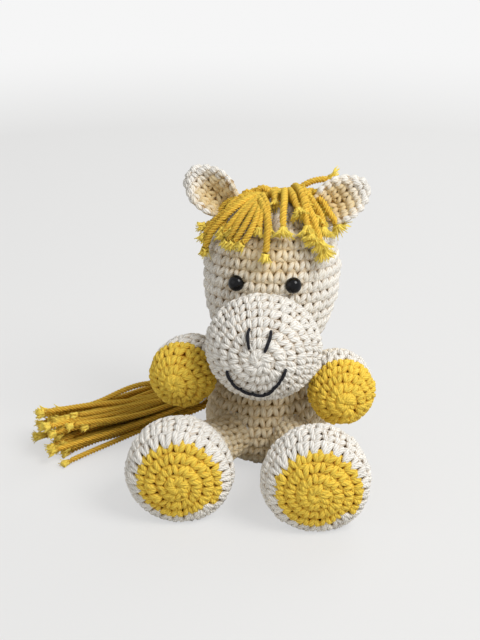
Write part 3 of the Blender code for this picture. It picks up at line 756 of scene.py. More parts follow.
@dataclass(frozen=True)
class PhotoView:
    """The camera that took the photograph, worked out from the toy's own shape."""

    azimuth: float = math.radians(6.5)
    elevation: float = math.radians(23.5)
    distance: float = 520 * MM
    target: tuple[float, float, float] = (-10.6 * MM, 0.0, 53 * MM)
    focal_pixels: float = 1352.0
    width: int = 480
    height: int = 640
    sensor: float = 24.0
    clip: tuple[float, float] = (0.01, 10.0)

    def back(self) -> Vector:
        """The way from the target to the camera."""
        level = math.cos(self.elevation)
        return Vector((math.sin(self.azimuth) * level, -math.cos(self.azimuth) * level, math.sin(self.elevation)))

    def turn(self) -> Matrix:
        """The camera's turn."""
        return (-self.back()).to_track_quat("-Z", "Y").to_matrix()

    def place(self) -> Vector:
        """Where the camera stands."""
        return Vector(self.target) + self.back() * self.distance

    def way(self, x: float, y: float) -> Vector:
        """The way from the camera through a pixel of the photograph, one unit deep."""
        across, down = (x - self.width / 2) / self.focal_pixels, (y - self.height / 2) / self.focal_pixels
        return self.turn() @ Vector((across, -down, -1.0))

    def beside(self, x: float, y: float, point: Vector) -> Vector:
        """The point on a pixel's ray that is as far from the camera as another point."""
        deep = (self.place() - point).dot(self.back())
        return self.place() + self.way(x, y) * deep

    def camera(self) -> Object:
        """Makes the camera."""
        data = bpy.data.cameras.new("photo_camera")
        data.sensor_width = self.sensor
        data.lens = self.focal_pixels / self.height * self.sensor
        data.clip_start, data.clip_end = self.clip
        made = add_object("photo_camera", data)
        made.location = self.place()
        made.rotation_euler = self.turn().to_euler()
        bpy.context.scene.camera = made
        return made


# ---- the sewn forms


class Side(Enum):
    """A side of the toy, as the viewer sees it from the front."""

    LEFT = -1
    RIGHT = 1

    @property
    def word(self) -> str:
        """The side's word in the names of pieces."""
        return self.name.lower()


@dataclass
class Finishes:
    """Every finish of the toy."""

    cream: Material
    yellow: Material
    strands: Material
    thread: Material
    gloss: Material
    nylon: Material
    fibre: Material


def dress(
    piece: Object,
    nodes: tuple[str, ...],
    body: str,
    hinge: tuple[Vector, Vector] | None = None,
) -> Object:
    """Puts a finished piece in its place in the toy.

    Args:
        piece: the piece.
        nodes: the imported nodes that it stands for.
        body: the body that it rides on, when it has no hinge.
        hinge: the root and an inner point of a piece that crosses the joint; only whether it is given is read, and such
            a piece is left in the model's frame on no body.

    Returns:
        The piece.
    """
    if nodes:
        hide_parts(*nodes)
    if hinge:
        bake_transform(piece)
    else:
        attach(piece, body)
    return piece


@dataclass
class Head:
    """The head, worked from the crown down, and the frame that everything on it shares.

    Round the forehead, under the fringe, its stitches are painted with shade, darker and warmer.
    """

    pivot: tuple[float, float, float] = (0.0, 0.0, 43 * MM)
    lean: float = math.radians(2.2)
    tilt: float = math.radians(8)
    crown: float = 57.2 * MM
    neck: float = 2 * MM
    first: tuple[float, float, float] = (0.35, 1.0, 0.0)
    limit: float = 45 * MM
    hidden: float = 5 * MM
    forehead: tuple[float, float, float] = (0.0, -19 * MM, 88 * MM)
    fade: float = 17 * MM
    warmth: float = 0.45
    form: Form = field(init=False)

    def frame(self) -> Matrix:
        """The head's frame on the neck."""
        turn = Matrix.Rotation(self.lean, 4, "Y") @ Matrix.Rotation(-self.tilt, 4, "X")
        return Matrix.Translation(self.pivot) @ turn

    def measure(self) -> Form:
        """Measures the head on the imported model."""
        frame = self.frame()
        top = frame @ Vector((0, 0, self.crown))
        down = -(frame.to_3x3() @ Vector((0, 0, 1)))
        spine = straight_spine(np.array(top), np.array(down), self.crown - self.neck)
        first = np.array(frame.to_3x3() @ Vector(self.first))
        self.form = measure(solid_tree(["head_cover"]), spine, first, self.limit)
        return self.form

    def build(self, finishes: Finishes, muzzle: Form, rng: np.random.Generator) -> None:
        """Works the head's cover.

        Args:
            finishes: the toy's finishes.
            muzzle: the muzzle, which hides the stitches inside it.
            rng: the hand's unevenness.
        """
        skein = Skein()
        rounds = Rounds(self.form)
        rounds.back(skein)
        places = rounds.places()
        # Painted shade round the forehead, where the fringe keeps the light off.
        away = np.linalg.norm(places - self.forehead, axis=1)
        warmth = self.warmth * np.exp(-((away / self.fade) ** 2))
        rounds.work(skein, rng, ~muzzle.inside(places, self.hidden), warmth)
        dress(skein.piece("head_crochet", finishes.cream), ("head_cover",), "head")


@dataclass
class Muzzle:
    """The muzzle, worked from its front end back to the head."""

    reach: float = 48.2 * MM
    rise: float = 8.4 * MM
    shift: float = 0.8 * MM
    depth: float = 36 * MM
    rim: float = 3.5 * MM
    first: tuple[float, float, float] = (0.77, 0.0, -0.64)
    limit: float = 35 * MM
    hidden: float = 6 * MM
    form: Form = field(init=False)

    def measure(self, frame: Matrix) -> Form:
        """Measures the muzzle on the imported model, in the head's frame."""
        pole = frame @ Vector((self.shift, -self.reach, self.rise))
        way = frame.to_3x3() @ Vector((0, 1, 0))
        spine = straight_spine(np.array(pole), np.array(way), self.depth)
        first = np.array(frame.to_3x3() @ Vector(self.first))
        self.form = measure(solid_tree(["muzzle_cover"]), spine, first, self.limit)
        return self.form

    def build(self, finishes: Finishes, head: Form, rng: np.random.Generator) -> None:
        """Works the muzzle's cover."""
        skein = Skein()
        rounds = Rounds(self.form)
        rounds.back(skein, end=self.form.arc[-1] - self.rim)
        rounds.work(skein, rng, ~head.inside(rounds.places(), self.hidden))
        dress(skein.piece("muzzle_crochet", finishes.cream), ("muzzle_cover",), "head")


@dataclass
class Body:
    """The pear-shaped body, worked from its seat up to the neck, with painted shade, darker and warmer, over all its
    stitches.
    """

    height: float = 52 * MM
    first: tuple[float, float, float] = (0.3, 1.0, 0.0)
    limit: float = 40 * MM
    hidden: float = 4 * MM
    warmth: float = 0.36
    fill: float = 0.85
    form: Form = field(init=False)

    def measure(self) -> Form:
        """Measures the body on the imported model."""
        spine = straight_spine(np.zeros(3), np.array([0.0, 0.0, 1.0]), self.height)
        self.form = measure(solid_tree(["body_cover"]), spine, np.array(self.first), self.limit)
        return self.form

    def build(self, finishes: Finishes, head: Form, rng: np.random.Generator) -> None:
        """Works the body's cover."""
        skein = Skein()
        rounds = Rounds(self.form)
        rounds.back(skein)
        places = rounds.places()
        # Painted shade, darker and warmer, over every stitch of the body.
        rounds.work(skein, rng, ~head.inside(places, self.hidden), np.full(len(places), self.warmth))
        dress(skein.piece("body_crochet", finishes.cream), ("body_cover",), "torso")


@dataclass
class Limb:
    """An arm or a leg, worked from the pole of its yellow end up to the seam on the body."""

    name: str
    end: str
    side: Side
    root: tuple[float, float]
    root_radius: float
    end_radius: float
    dome: float
    sink: float
    reach: tuple[float, float, float]
    out_shares: tuple[float, ...]
    forward_shares: tuple[float, ...]
    swell_shares: tuple[float, ...]
    yellow_rounds: int = 4
    first: tuple[float, float, float] = (0.77, 0.0, -0.64)
    soft_length: float = 9 * MM
    step: float = 0.7 * MM
    pole_gap: float = 0.3 * MM
    clearance: float = 1.35
    samples: int = 60
    fold_cosine: float = 0.5
    fold_start: float = 1.5
    hidden: float = 3 * MM
    # Painted shade, darker and warmer, on the sleeve towards the body: how much, and the shares of its length where it
    # starts and grows.
    root_warmth: float = 0.4
    root_start: float = 0.5
    root_fade: float = 0.25
    form: Form = field(init=False)

    @property
    def body(self) -> str:
        """The body that the limb is."""
        return f"{self.name}_{self.side.word}"

    def spine(self, body: Form) -> tuple[Array, Array]:
        """The limb's bent middle line, from its pole to inside the body, and a length that clears its skin."""
        height, angle = self.root
        side = self.side.value
        away = np.array([side * math.sin(angle), -math.cos(angle), 0.0])
        skin = away * np.interp(height, body.spine[:, 2], body.radius) + np.array([0, 0, height])
        shares = np.array([self.out_shares, self.forward_shares, self.swell_shares]).T
        knots = [skin - away * self.sink, *(skin + shares * self.reach * np.array([side, -1, 1]))]
        bend = smooth(np.array(knots), self.samples)[::-1]
        way = unit(bend[0] - bend[1])
        straight = np.arange(POLE_STEPS[-1] + self.step, self.dome - self.pole_gap, self.step)
        straight = np.concatenate([POLE_STEPS, straight])
        run = run_along(bend)
        at = np.arange(0, run[-1], self.step)
        even = read_along(bend, run, at)
        swell = smooth(np.array([0.0, *self.swell_shares])[:, None], self.samples)[::-1, 0]
        radius = self.root_radius + (self.end_radius - self.root_radius) * np.interp(at, run, swell)
        radius = np.concatenate([np.full(len(straight), self.end_radius), radius])
        return np.concatenate([bend[0] + way * (self.dome - straight)[:, None], even]), self.clearance * radius

    def measure(self, body: Form) -> Form:
        """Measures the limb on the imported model, and turns the normals outwards where its skin folds."""
        tree = solid_tree([f"{self.body}_sleeve", f"{self.body}_{self.end}"])
        spine, limits = self.spine(body)
        self.form = form = measure(tree, spine, np.array(self.first), limits)
        outward = unit(form.skin - form.spine[:, None])
        folded = np.sum(outward * form.normals, axis=2) < self.fold_cosine
        folded[form.arc < self.fold_start * self.dome] = False
        form.normals[folded] = outward[folded]
        return form

    def build(self, finishes: Finishes, body: Form, rng: np.random.Generator) -> None:
        """Works the limb's two yarns.

        Args:
            finishes: the toy's finishes.
            body: the body, which hides the stitches inside it.
            rng: the hand's unevenness.
        """
        rounds = Rounds(self.form)
        shown = ~body.inside(rounds.places(), self.hidden)
        change = self.yellow_rounds * ROUND_HEIGHT
        root = Vector(self.form.spine[-1])
        inner = Vector(self.form.spine[-1 - int(self.soft_length / self.step)])
        end = Skein()
        rounds.back(end, 0.0, change)
        rounds.work(end, rng, shown & (rounds.number < self.yellow_rounds))
        piece = end.piece(f"{self.body}_{self.end}_crochet", finishes.yellow)
        dress(piece, (f"{self.body}_{self.end}",), self.body)
        sleeve = Skein()
        rounds.back(sleeve, change)
        # Painted shade grows towards the root on the body.
        near = np.clip((rounds.arc / self.form.arc[-1] - self.root_start) / self.root_fade, 0, 1)
        cream = shown & (rounds.number >= self.yellow_rounds)
        rounds.work(sleeve, rng, cream, self.root_warmth * near, rounds.number == self.yellow_rounds)
        piece = sleeve.piece(f"{self.body}_sleeve_crochet", finishes.cream)
        dress(piece, (f"{self.body}_sleeve",), self.body, (root, inner))


@dataclass
class Ear:
    """A thick cupped ear, worked from its tip down to the head."""

    side: Side
    head_radius: float = 25.9 * MM
    length: float = 22.5 * MM
    width: float = 20.5 * MM
    cup: float = 8.5 * MM
    thickness: float = 5.2 * MM
    sink: float = 5 * MM
    place: float = math.radians(38)
    lean: float = math.radians(51)
    turn: float = math.radians(12)
    along_shares: tuple = (0.0, 0.16, 0.32, 0.50, 0.68, 0.82, 0.93, 1.0)
    width_shares: tuple = (0.60, 0.64, 0.78, 0.96, 1.0, 0.88, 0.66, 0.34)
    cup_shares: tuple = (0.30, 0.60, 0.95, 1.0, 0.80, 0.45, 0.18, 0.0)
    thickness_shares: tuple = (1.0, 0.92, 0.86, 0.86, 0.92, 1.0, 0.95, 0.55)
    section_points: int = 64
    section_power: float = 0.75
    rings: int = 36
    pole_shares: tuple = (0.01, 0.35, 0.7)
    # The painted shade inside the cup, darker and warmer: how much, how far behind its face, and how it fades to the
    # rim and the tip.
    warmth: float = 0.60
    behind: float = 0.8
    rim_fade: tuple[float, float] = (1.9, 2.6)
    tip_fade: tuple[float, float] = (3.6, 4.2)
    # Ears are worked in finer stitches.
    round_height: float = 3.4 * MM
    stitch_width: float = 3.7 * MM
    yarn: float = 0.88
    backing_depth: float = 1.5 * MM
    hidden: float = 3 * MM
    fill: float = 0.5
    form: Form = field(init=False)
    placed: Array = field(init=False)

    def frame(self, head: Head) -> Matrix:
        """The ear's frame: +Z runs to the tip and -Y to the open side."""
        side = self.side.value
        base = Vector((side * math.sin(self.place), 0, math.cos(self.place)))
        head_centre = Vector((0, 0, head.crown - self.head_radius))
        spot = head.frame() @ Matrix.Translation(head_centre + base * self.head_radius)
        spot @= Matrix.Rotation(side * self.lean, 4, "Y") @ Matrix.Rotation(-side * self.turn, 4, "Z")
        return spot @ Matrix.Translation((0, 0, -self.sink))

    def measure(self, head: Head) -> Form:
        """Lays out the ear's skin from its tip to its root."""
        table = np.array([self.along_shares, self.width_shares, self.cup_shares, self.thickness_shares]).T[::-1]
        scale = (self.length + self.sink, self.width, self.cup, self.thickness)
        frame = np.array(self.frame(head))
        rings = []
        angle = np.linspace(0, 2 * np.pi, self.section_points, endpoint=False)
        across = np.sign(np.cos(angle)) * np.abs(np.cos(angle)) ** self.section_power
        over = np.sign(np.sin(angle)) * np.abs(np.sin(angle)) ** self.section_power
        for height, width, cup, thick in smooth(table, self.rings) * scale:
            half = width / 2 - thick / 2
            slope = unit(np.stack([np.full_like(angle, half), -2 * cup * across], 1))
            x = half * across - slope[:, 1] * over * thick / 2
            y = -cup * across**2 + slope[:, 0] * over * thick / 2
            ring = np.stack([x, y, np.full_like(angle, height)], 1)
            closed = np.concatenate([ring, ring[:1]])
            run = run_along(closed)
            rings.append(read_along(closed, run, np.linspace(0, run[-1], TURNS, endpoint=False)))
        centre = rings[0].mean(axis=0)
        cap = [centre + (rings[0] - centre) * share for share in self.pole_shares]
        grid = np.array(cap + rings) @ frame[:3, :3].T + frame[:3, 3]
        self.form = Form(grid)
        self.placed = frame
        return self.form

    def cupped(self, places: Array) -> Array:
        """How much painted shade each place takes: none on the ear's rim and back, and most deep in its cup."""
        local = (places - self.placed[:3, 3]) @ self.placed[:3, :3]
        across = np.abs(local[:, 0]) / (self.width / 2)
        up = local[:, 2] / (self.length + self.sink)
        front = local[:, 1] < -self.cup * across**2 * self.behind
        fades = ((across, self.rim_fade), (up, self.tip_fade))
        inner, low = (np.clip(start - slope * share, 0, 1) for share, (start, slope) in fades)
        return self.warmth * front * inner * low

    def build(self, finishes: Finishes, head: Form, rng: np.random.Generator) -> None:
        """Works the ear."""
        skein = Skein()
        rounds = Rounds(self.form, height=self.round_height, width=self.stitch_width, yarn=self.yarn)
        rounds.back(skein, depth=self.backing_depth)
        places = rounds.places()
        rounds.work(skein, rng, ~head.inside(places, self.hidden), self.cupped(places))
        name = f"ear_{self.side.word}"
        dress(skein.piece(f"{name}_crochet", finishes.cream), (name,), "head")


@dataclass(frozen=True)
class Strand:
    """A cut length of yarn: plies twisted round each other, which fray into fibres at the cut end."""

    radius: float = STRAND_RADIUS
    uneven: tuple[float, float] = (0.93, 1.05)
    plies: int = 4
    groove: float = 0.34
    crest: float = 1.08
    pitch: float = 4.4 * MM
    sway: float = 0.3
    sway_length: float = 9 * MM
    step: float = 0.52 * MM
    open_length: float = 2.4 * MM
    open_power: float = 1.5
    open_share: float = 0.3
    fibres: int = 22
    fibre_length: float = 2.2 * MM
    fibre_radius: float = 0.20 * MM
    cut_share: float = 0.8
    rooted: float = 1.0 * MM
    fan: float = 0.40
    drift: float = 0.12

    def lay(self, skein: Skein, path: Array, rng: np.random.Generator, frayed: bool = True) -> None:
        """Lays the strand along a path.

        Args:
            skein: what gets the yarn.
            path: points of a smooth line, from the knot to the tip of the cut end.
            rng: the yarn's unevenness.
            frayed: whether the end opens.
        """
        run = run_along(path)
        length = run[-1] - (self.cut_share * self.fibre_length if frayed else 0.0)
        count = max(4, int(length / self.step))
        at = np.linspace(0, length, count)
        line = read_along(path, run, at)
        way = unit(np.gradient(line, axis=0))
        ups = np.empty_like(line)
        up = np.array([0.0, 0.0, 1.0]) if abs(way[0, 2]) < 0.9 else np.array([0.0, 1.0, 0.0])
        for k in range(count):
            up, _ = frame_round(way[k], up)
            ups[k] = up
        across = np.cross(way, ups)
        loose = np.clip(1 - (length - at) / self.open_length, 0, 1) ** self.open_power * frayed
        turn = 2 * np.pi * (at / self.pitch * (1 - self.open_share * loose) + rng.random())
        turn += self.sway * np.sin(at / self.sway_length)
        twisted = np.cos(turn)[:, None] * ups + np.sin(turn)[:, None] * across
        radii = self.radius * rng.uniform(*self.uneven) * (1 + self.open_share * loose)
        profile = np.tile([1 - self.groove, self.crest], self.plies)
        skein.sweep(line[None], twisted[None], radii[None], len(profile), tones=rng.random(1), profile=profile)
        if frayed:
            self.fluff(skein, line[-1], way[-1], ups[-1], rng)

    def fluff(self, skein: Skein, end: Array, way: Array, up: Array, rng: np.random.Generator) -> None:
        """Parts the cut end's plies and fans their fibres out."""
        across = np.cross(way, up)
        share = np.linspace(0, 1, 4)[None, :, None]
        # How many, then their length, radius, reach from the middle and least reach, sides, second colour and fan.
        plies = (self.plies, 0.8, 0.56 * self.radius, 0.62 * self.radius, 0.25, 5, 0.45, 0.5)
        fuzz = (self.fibres, 1.0, self.fibre_radius, self.radius, 0.0, 3, 0.85, 1.0)
        for count, long, radius, reach, least, sides, second, fan in (plies, fuzz):
            turn = 2 * np.pi * (np.arange(count) / count + rng.random()) + rng.normal(0, 0.3, count)
            spread = np.sqrt(rng.uniform(least, 1, count))
            out = np.cos(turn)[:, None] * up + np.sin(turn)[:, None] * across
            length = long * self.fibre_length * rng.uniform(0.6, 1.0, (count, 1, 1))
            start = end - way * self.rooted + out * (reach * spread)[:, None]
            drift = rng.normal(0, self.drift, (count, 1, 3))
            run = (self.rooted + length) * share
            bent = (out * (np.tan(self.fan * fan) * spread)[:, None])[:, None] + drift
            paths = start[:, None] + way * run + bent * run * share
            radii = radius * (1.25 - 0.4 * share[..., 0]) * np.ones((count, 1))
            tones = rng.uniform(0.3, 1, count)
            skein.sweep(paths, out[:, None] + 0 * paths, radii, sides, tones=tones, second=second)


@dataclass(frozen=True)
class Forelock:
    """One of the two knotted bunches on the crown, laid by the pixels of the photograph."""

    side: Side
    knot: tuple[float, float]
    yarn: Strand
    lifts: tuple
    strands: tuple
    scatter: float = 1.2
    uneven: tuple[float, float] = (0.85, 1.15)
    samples: int = 50
    knot_lift: float = 1.9 * MM
    wraps: tuple = (((1.0, 0.0, 0.2), 1.8 * MM, 2.2), ((0.6, 0.7, 0.5), 1.6 * MM, 1.3))

    def build(self, finishes: Finishes, head: "Surface", view: PhotoView, rng: np.random.Generator) -> None:
        """Lays the bunch's strands over the head.

        Args:
            finishes: the toy's finishes.
            head: the head's skin.
            view: the photograph's view, which the pixels are in.
            rng: the yarn's unevenness.
        """
        skein = Skein()
        for pixels in self.strands:
            knots, before = [], None
            at = np.linspace(0, len(self.lifts) - 1, len(pixels) + 1)
            lifts = np.interp(at, range(len(self.lifts)), self.lifts) * MM * rng.uniform(*self.uneven)
            start = np.array(self.knot) + rng.normal(0, self.scatter, 2)
            for (x, y), lift in zip((start, *pixels), lifts):
                before = head.over(view, x, y, lift, before)
                knots.append(before)
            self.yarn.lay(skein, smooth(np.array(knots), self.samples), rng)
        centre = np.array(head.over(view, *self.knot, self.knot_lift, None))
        for way, radius, turns in self.wraps:
            wrap(skein, centre, np.array(way), radius, rng, turns)
        name = f"forelock_{self.side.word}"
        dress(skein.piece(f"{name}_strands", finishes.strands), (name,), "head")


def wrap(skein: Skein, centre: Array, way: Array, radius: float, rng: np.random.Generator, turns: float) -> None:
    """Winds a strand tightly round a bunch, as its knot.

    Args:
        skein: what gets the yarn.
        centre: the knot's middle.
        way: the way the bunch runs through it.
        radius: the bunch's radius there.
        rng: the yarn's unevenness.
        turns: how often it goes round.
    """
    across, over = frame_round(unit(way), WRAP_START)
    angle = np.linspace(0, 2 * np.pi * turns, int(WRAP_STEPS * turns))
    slide = np.linspace(-0.5, 0.5, len(angle)) * 2 * STRAND_RADIUS * turns
    ring = np.cos(angle)[:, None] * across + np.sin(angle)[:, None] * over
    Strand().lay(skein, centre + ring * radius + unit(way) * slide[:, None], rng, frayed=False)


@dataclass
class Surface:
    """A form's skin, ready to be hit by the rays of the photograph."""

    form: Form
    tree: BVHTree = field(init=False)

    def __post_init__(self) -> None:
        """Builds the tree."""
        quads = ring_quads(*self.form.skin.shape[:2])
        self.tree = BVHTree.FromPolygons(self.form.skin.reshape(-1, 3).tolist(), quads.tolist())

    def over(self, view: PhotoView, x: float, y: float, lift: float, before: Vector | None) -> Vector:
        """Finds the point over the skin that a pixel shows.

        Args:
            view: the photograph's view.
            x: the pixel, from the left.
            y: the pixel, from the top.
            lift: how far over the skin the point is.
            before: the point that it follows, for a pixel beside the form.

        Returns:
            The point.
        """
        origin, way = view.place(), view.way(x, y)
        point, normal, _, _ = self.tree.ray_cast(origin, way)
        if point is None:
            return view.beside(x, y, before or Vector(self.form.spine[0]))
        if normal.dot(way) > 0:
            normal = -normal
        return point + normal * lift


def seam_line(name: str, count: int, waves: int = 4) -> Array:
    """Finds the middle line of a packed yarn ring.

    Args:
        name: the ring's node.
        count: how many points to return.
        waves: how many waves round the ring are kept.

    Returns:
        The points, once round, from one end to the other where the ring is open.
    """
    points, _ = world_mesh(name)
    centre = points.mean(axis=0)
    flat = np.linalg.svd(points - centre, full_matrices=False)[2]
    angle = np.arctan2((points - centre) @ flat[1], (points - centre) @ flat[0])
    order = np.sort(angle)
    gaps = np.diff(np.append(order, order[0] + 2 * np.pi))
    whole = gaps.max() <= OPEN_RING_ANGLE
    start = 0.0 if whole else order[(gaps.argmax() + 1) % len(order)]
    span = 2 * np.pi if whole else 2 * np.pi - gaps.max()
    weights = np.linalg.lstsq(waves_round(angle, waves), points, rcond=None)[0]
    return waves_round(start + np.linspace(0, span, count), waves) @ weights


@dataclass(frozen=True)
class Seam:
    """The yarn that sews one part to the next, whipped over the join."""

    node: str
    body: str
    core: tuple[float, float, float] = (0.0, 0.0, 25 * MM)
    sink: float = 1.9 * MM
    pitch: float = 5.2 * MM
    reach: float = 0.4 * MM
    yarn_radius: float = 0.65 * MM
    yarn_sides: int = 7
    samples: int = 200
    least_wraps: int = 3
    wrap_steps: int = 14
    roll: float = 0.3

    def build(self, finishes: Finishes, rng: np.random.Generator) -> None:
        """Winds the seam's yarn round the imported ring's line."""
        line = seam_line(self.node, self.samples)
        line += self.sink * (unit(line.mean(axis=0) - line) + unit(np.array(self.core) - line))
        run = run_along(line)
        wraps = max(self.least_wraps, round(run[-1] / self.pitch))
        at = np.linspace(0, run[-1], wraps * self.wrap_steps)
        line = read_along(line, run, at)
        way = unit(np.gradient(line, axis=0))
        out = unit(line - line.mean(axis=0))
        across = unit(np.cross(way, out))
        over = np.cross(across, way)
        turn = 2 * np.pi * wraps * at / run[-1]
        path = line + self.reach * (np.cos(turn)[:, None] * across + np.sin(turn)[:, None] * over)
        skein = Skein()
        radii = np.full((1, len(path)), self.yarn_radius)
        ups = (over + self.roll * across)[None]
        # Painted shade: the seam's yarn is coloured as if it lay half its sink under the stitches.
        skein.sweep(path[None], ups, radii, self.yarn_sides, lifts=0 * radii - self.sink / 2)
        dress(skein.piece(f"{self.node}_stitches", finishes.cream), (self.node,), self.body)


@dataclass(frozen=True)
class FaceThread:
    """Black thread stitched over the muzzle's crochet, by the pixels of the photograph."""

    node: str
    pixels: tuple
    radius: float = 0.60 * MM
    lift: float = 0.66 * MM
    dip: float = 0.60 * MM
    stitch_length: float = 5.0 * MM
    stitch_points: int = 9
    lap: float = 0.25 * MM
    wander: float = 0.10 * MM
    taper: float = 0.12
    samples: int = 60

    def build(self, finishes: Finishes, muzzle: Surface, view: PhotoView, rng: np.random.Generator) -> None:
        """Lays the thread in backstitches.

        Args:
            finishes: the toy's finishes.
            muzzle: the muzzle's skin.
            view: the photograph's view, which the pixels are in.
            rng: the thread's unevenness.
        """
        places = smooth(np.array(self.pixels, float), self.samples)
        line = np.array([muzzle.over(view, x, y, self.lift, None) for x, y in places])
        base = np.array([muzzle.over(view, x, y, 0.0, None) for x, y in places])
        ups = unit(line - base)
        run = run_along(line)
        count = max(1, round(run[-1] / self.stitch_length))
        skein = Skein()
        side = unit(np.cross(unit(np.gradient(line, axis=0)), ups))
        for k in range(count):
            low, high = run[-1] * k / count, run[-1] * (k + 1) / count
            at = np.linspace(max(low - self.lap, 0), min(high + self.lap, run[-1]), self.stitch_points)
            share = np.linspace(-1, 1, self.stitch_points)
            sink = self.dip * np.abs(share) ** 6
            drift = rng.normal(0, self.wander) * share
            path, up, beside = (read_along(grid, run, at) for grid in (line, ups, side))
            path = path - up * sink[:, None] + beside * drift[:, None]
            radii = self.radius * (1 - self.taper * share**4)
            skein.sweep(path[None], up[None], radii[None])
        dress(skein.piece(f"{self.node}_stitches", finishes.thread), (self.node,), "head")


@dataclass(frozen=True)
class SafetyEye:
    """A glossy domed eye with its rim, and its shank through the fabric."""

    side: Side
    radius: float = 3.0 * MM
    dome: float = 2.7 * MM
    rim: float = 0.35 * MM
    rim_taper: float = 0.86
    back_drop: float = 0.25
    shank_radius: float = 0.9 * MM
    shank_length: float = 6.2 * MM
    top_depth: float = 0.05 * MM
    flat: float = 0.001 * MM
    segments: int = 48
    crease_angle: float = math.radians(40)

    def build(self, finishes: Finishes, head: Form) -> None:
        """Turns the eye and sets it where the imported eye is."""
        name = f"eye_{self.side.word}"
        points, _ = world_mesh(name)
        nearest = np.abs(head.skin - points[points[:, 1].argmin()]).sum(axis=2)
        spot = np.unravel_index(nearest.argmin(), nearest.shape)
        out = head.normals[spot]
        along = (points - points.mean(axis=0)) @ out
        top = points[along > along.max() - self.top_depth].mean(axis=0)
        deselect()
        rings = 2 * self.segments // 3
        bpy.ops.mesh.primitive_uv_sphere_add(segments=self.segments, ring_count=rings, radius=self.radius)
        eye = bpy.context.active_object
        eye.name = f"{name}_dome"
        bpy.ops.object.mode_set(mode="EDIT")
        bpy.ops.mesh.bisect(plane_co=(0, 0, 0), plane_no=(0, 0, 1), clear_inner=True)
        bpy.ops.object.mode_set(mode="OBJECT")
        for vertex in eye.data.vertices:
            vertex.co.z *= self.dome / self.radius
            vertex.select = vertex.co.z < self.flat
        bpy.ops.object.mode_set(mode="EDIT")
        bpy.ops.mesh.select_mode(type="VERT")
        shank = self.shank_radius / self.radius / self.rim_taper
        for size, drop in ((1.0, self.rim), (self.rim_taper, self.back_drop * self.rim), (shank, 0.0)):
            bpy.ops.mesh.extrude_region_move(TRANSFORM_OT_translate={"value": (0, 0, -drop)})
            bpy.ops.transform.resize(value=(size, size, 1))
        bpy.ops.mesh.extrude_region_move(TRANSFORM_OT_translate={"value": (0, 0, self.rim - self.shank_length)})
        bpy.ops.mesh.edge_face_add()
        bpy.ops.object.mode_set(mode="OBJECT")
        turn = Vector(out).to_track_quat("Z", "Y").to_matrix().to_4x4()
        eye.data.transform(Matrix.Translation(Vector(top - out * self.dome)) @ turn)
        bpy.ops.object.shade_smooth_by_angle(angle=self.crease_angle)
        eye.data.materials.append(finishes.gloss)
        dress(eye, (name,), "head")
        washer = FRAME["nodes"][f"{name}_washer"].data
        washer.materials.clear()
        washer.materials.append(finishes.nylon)


@dataclass(frozen=True)
class Stray:
    """A strand that leaves the tail's bundle, in shares of its length, width and height."""

    length: float
    across: tuple[float, float]
    over: tuple[float, float]
    arch: float = 0.0
    arch_at: float = 0.4


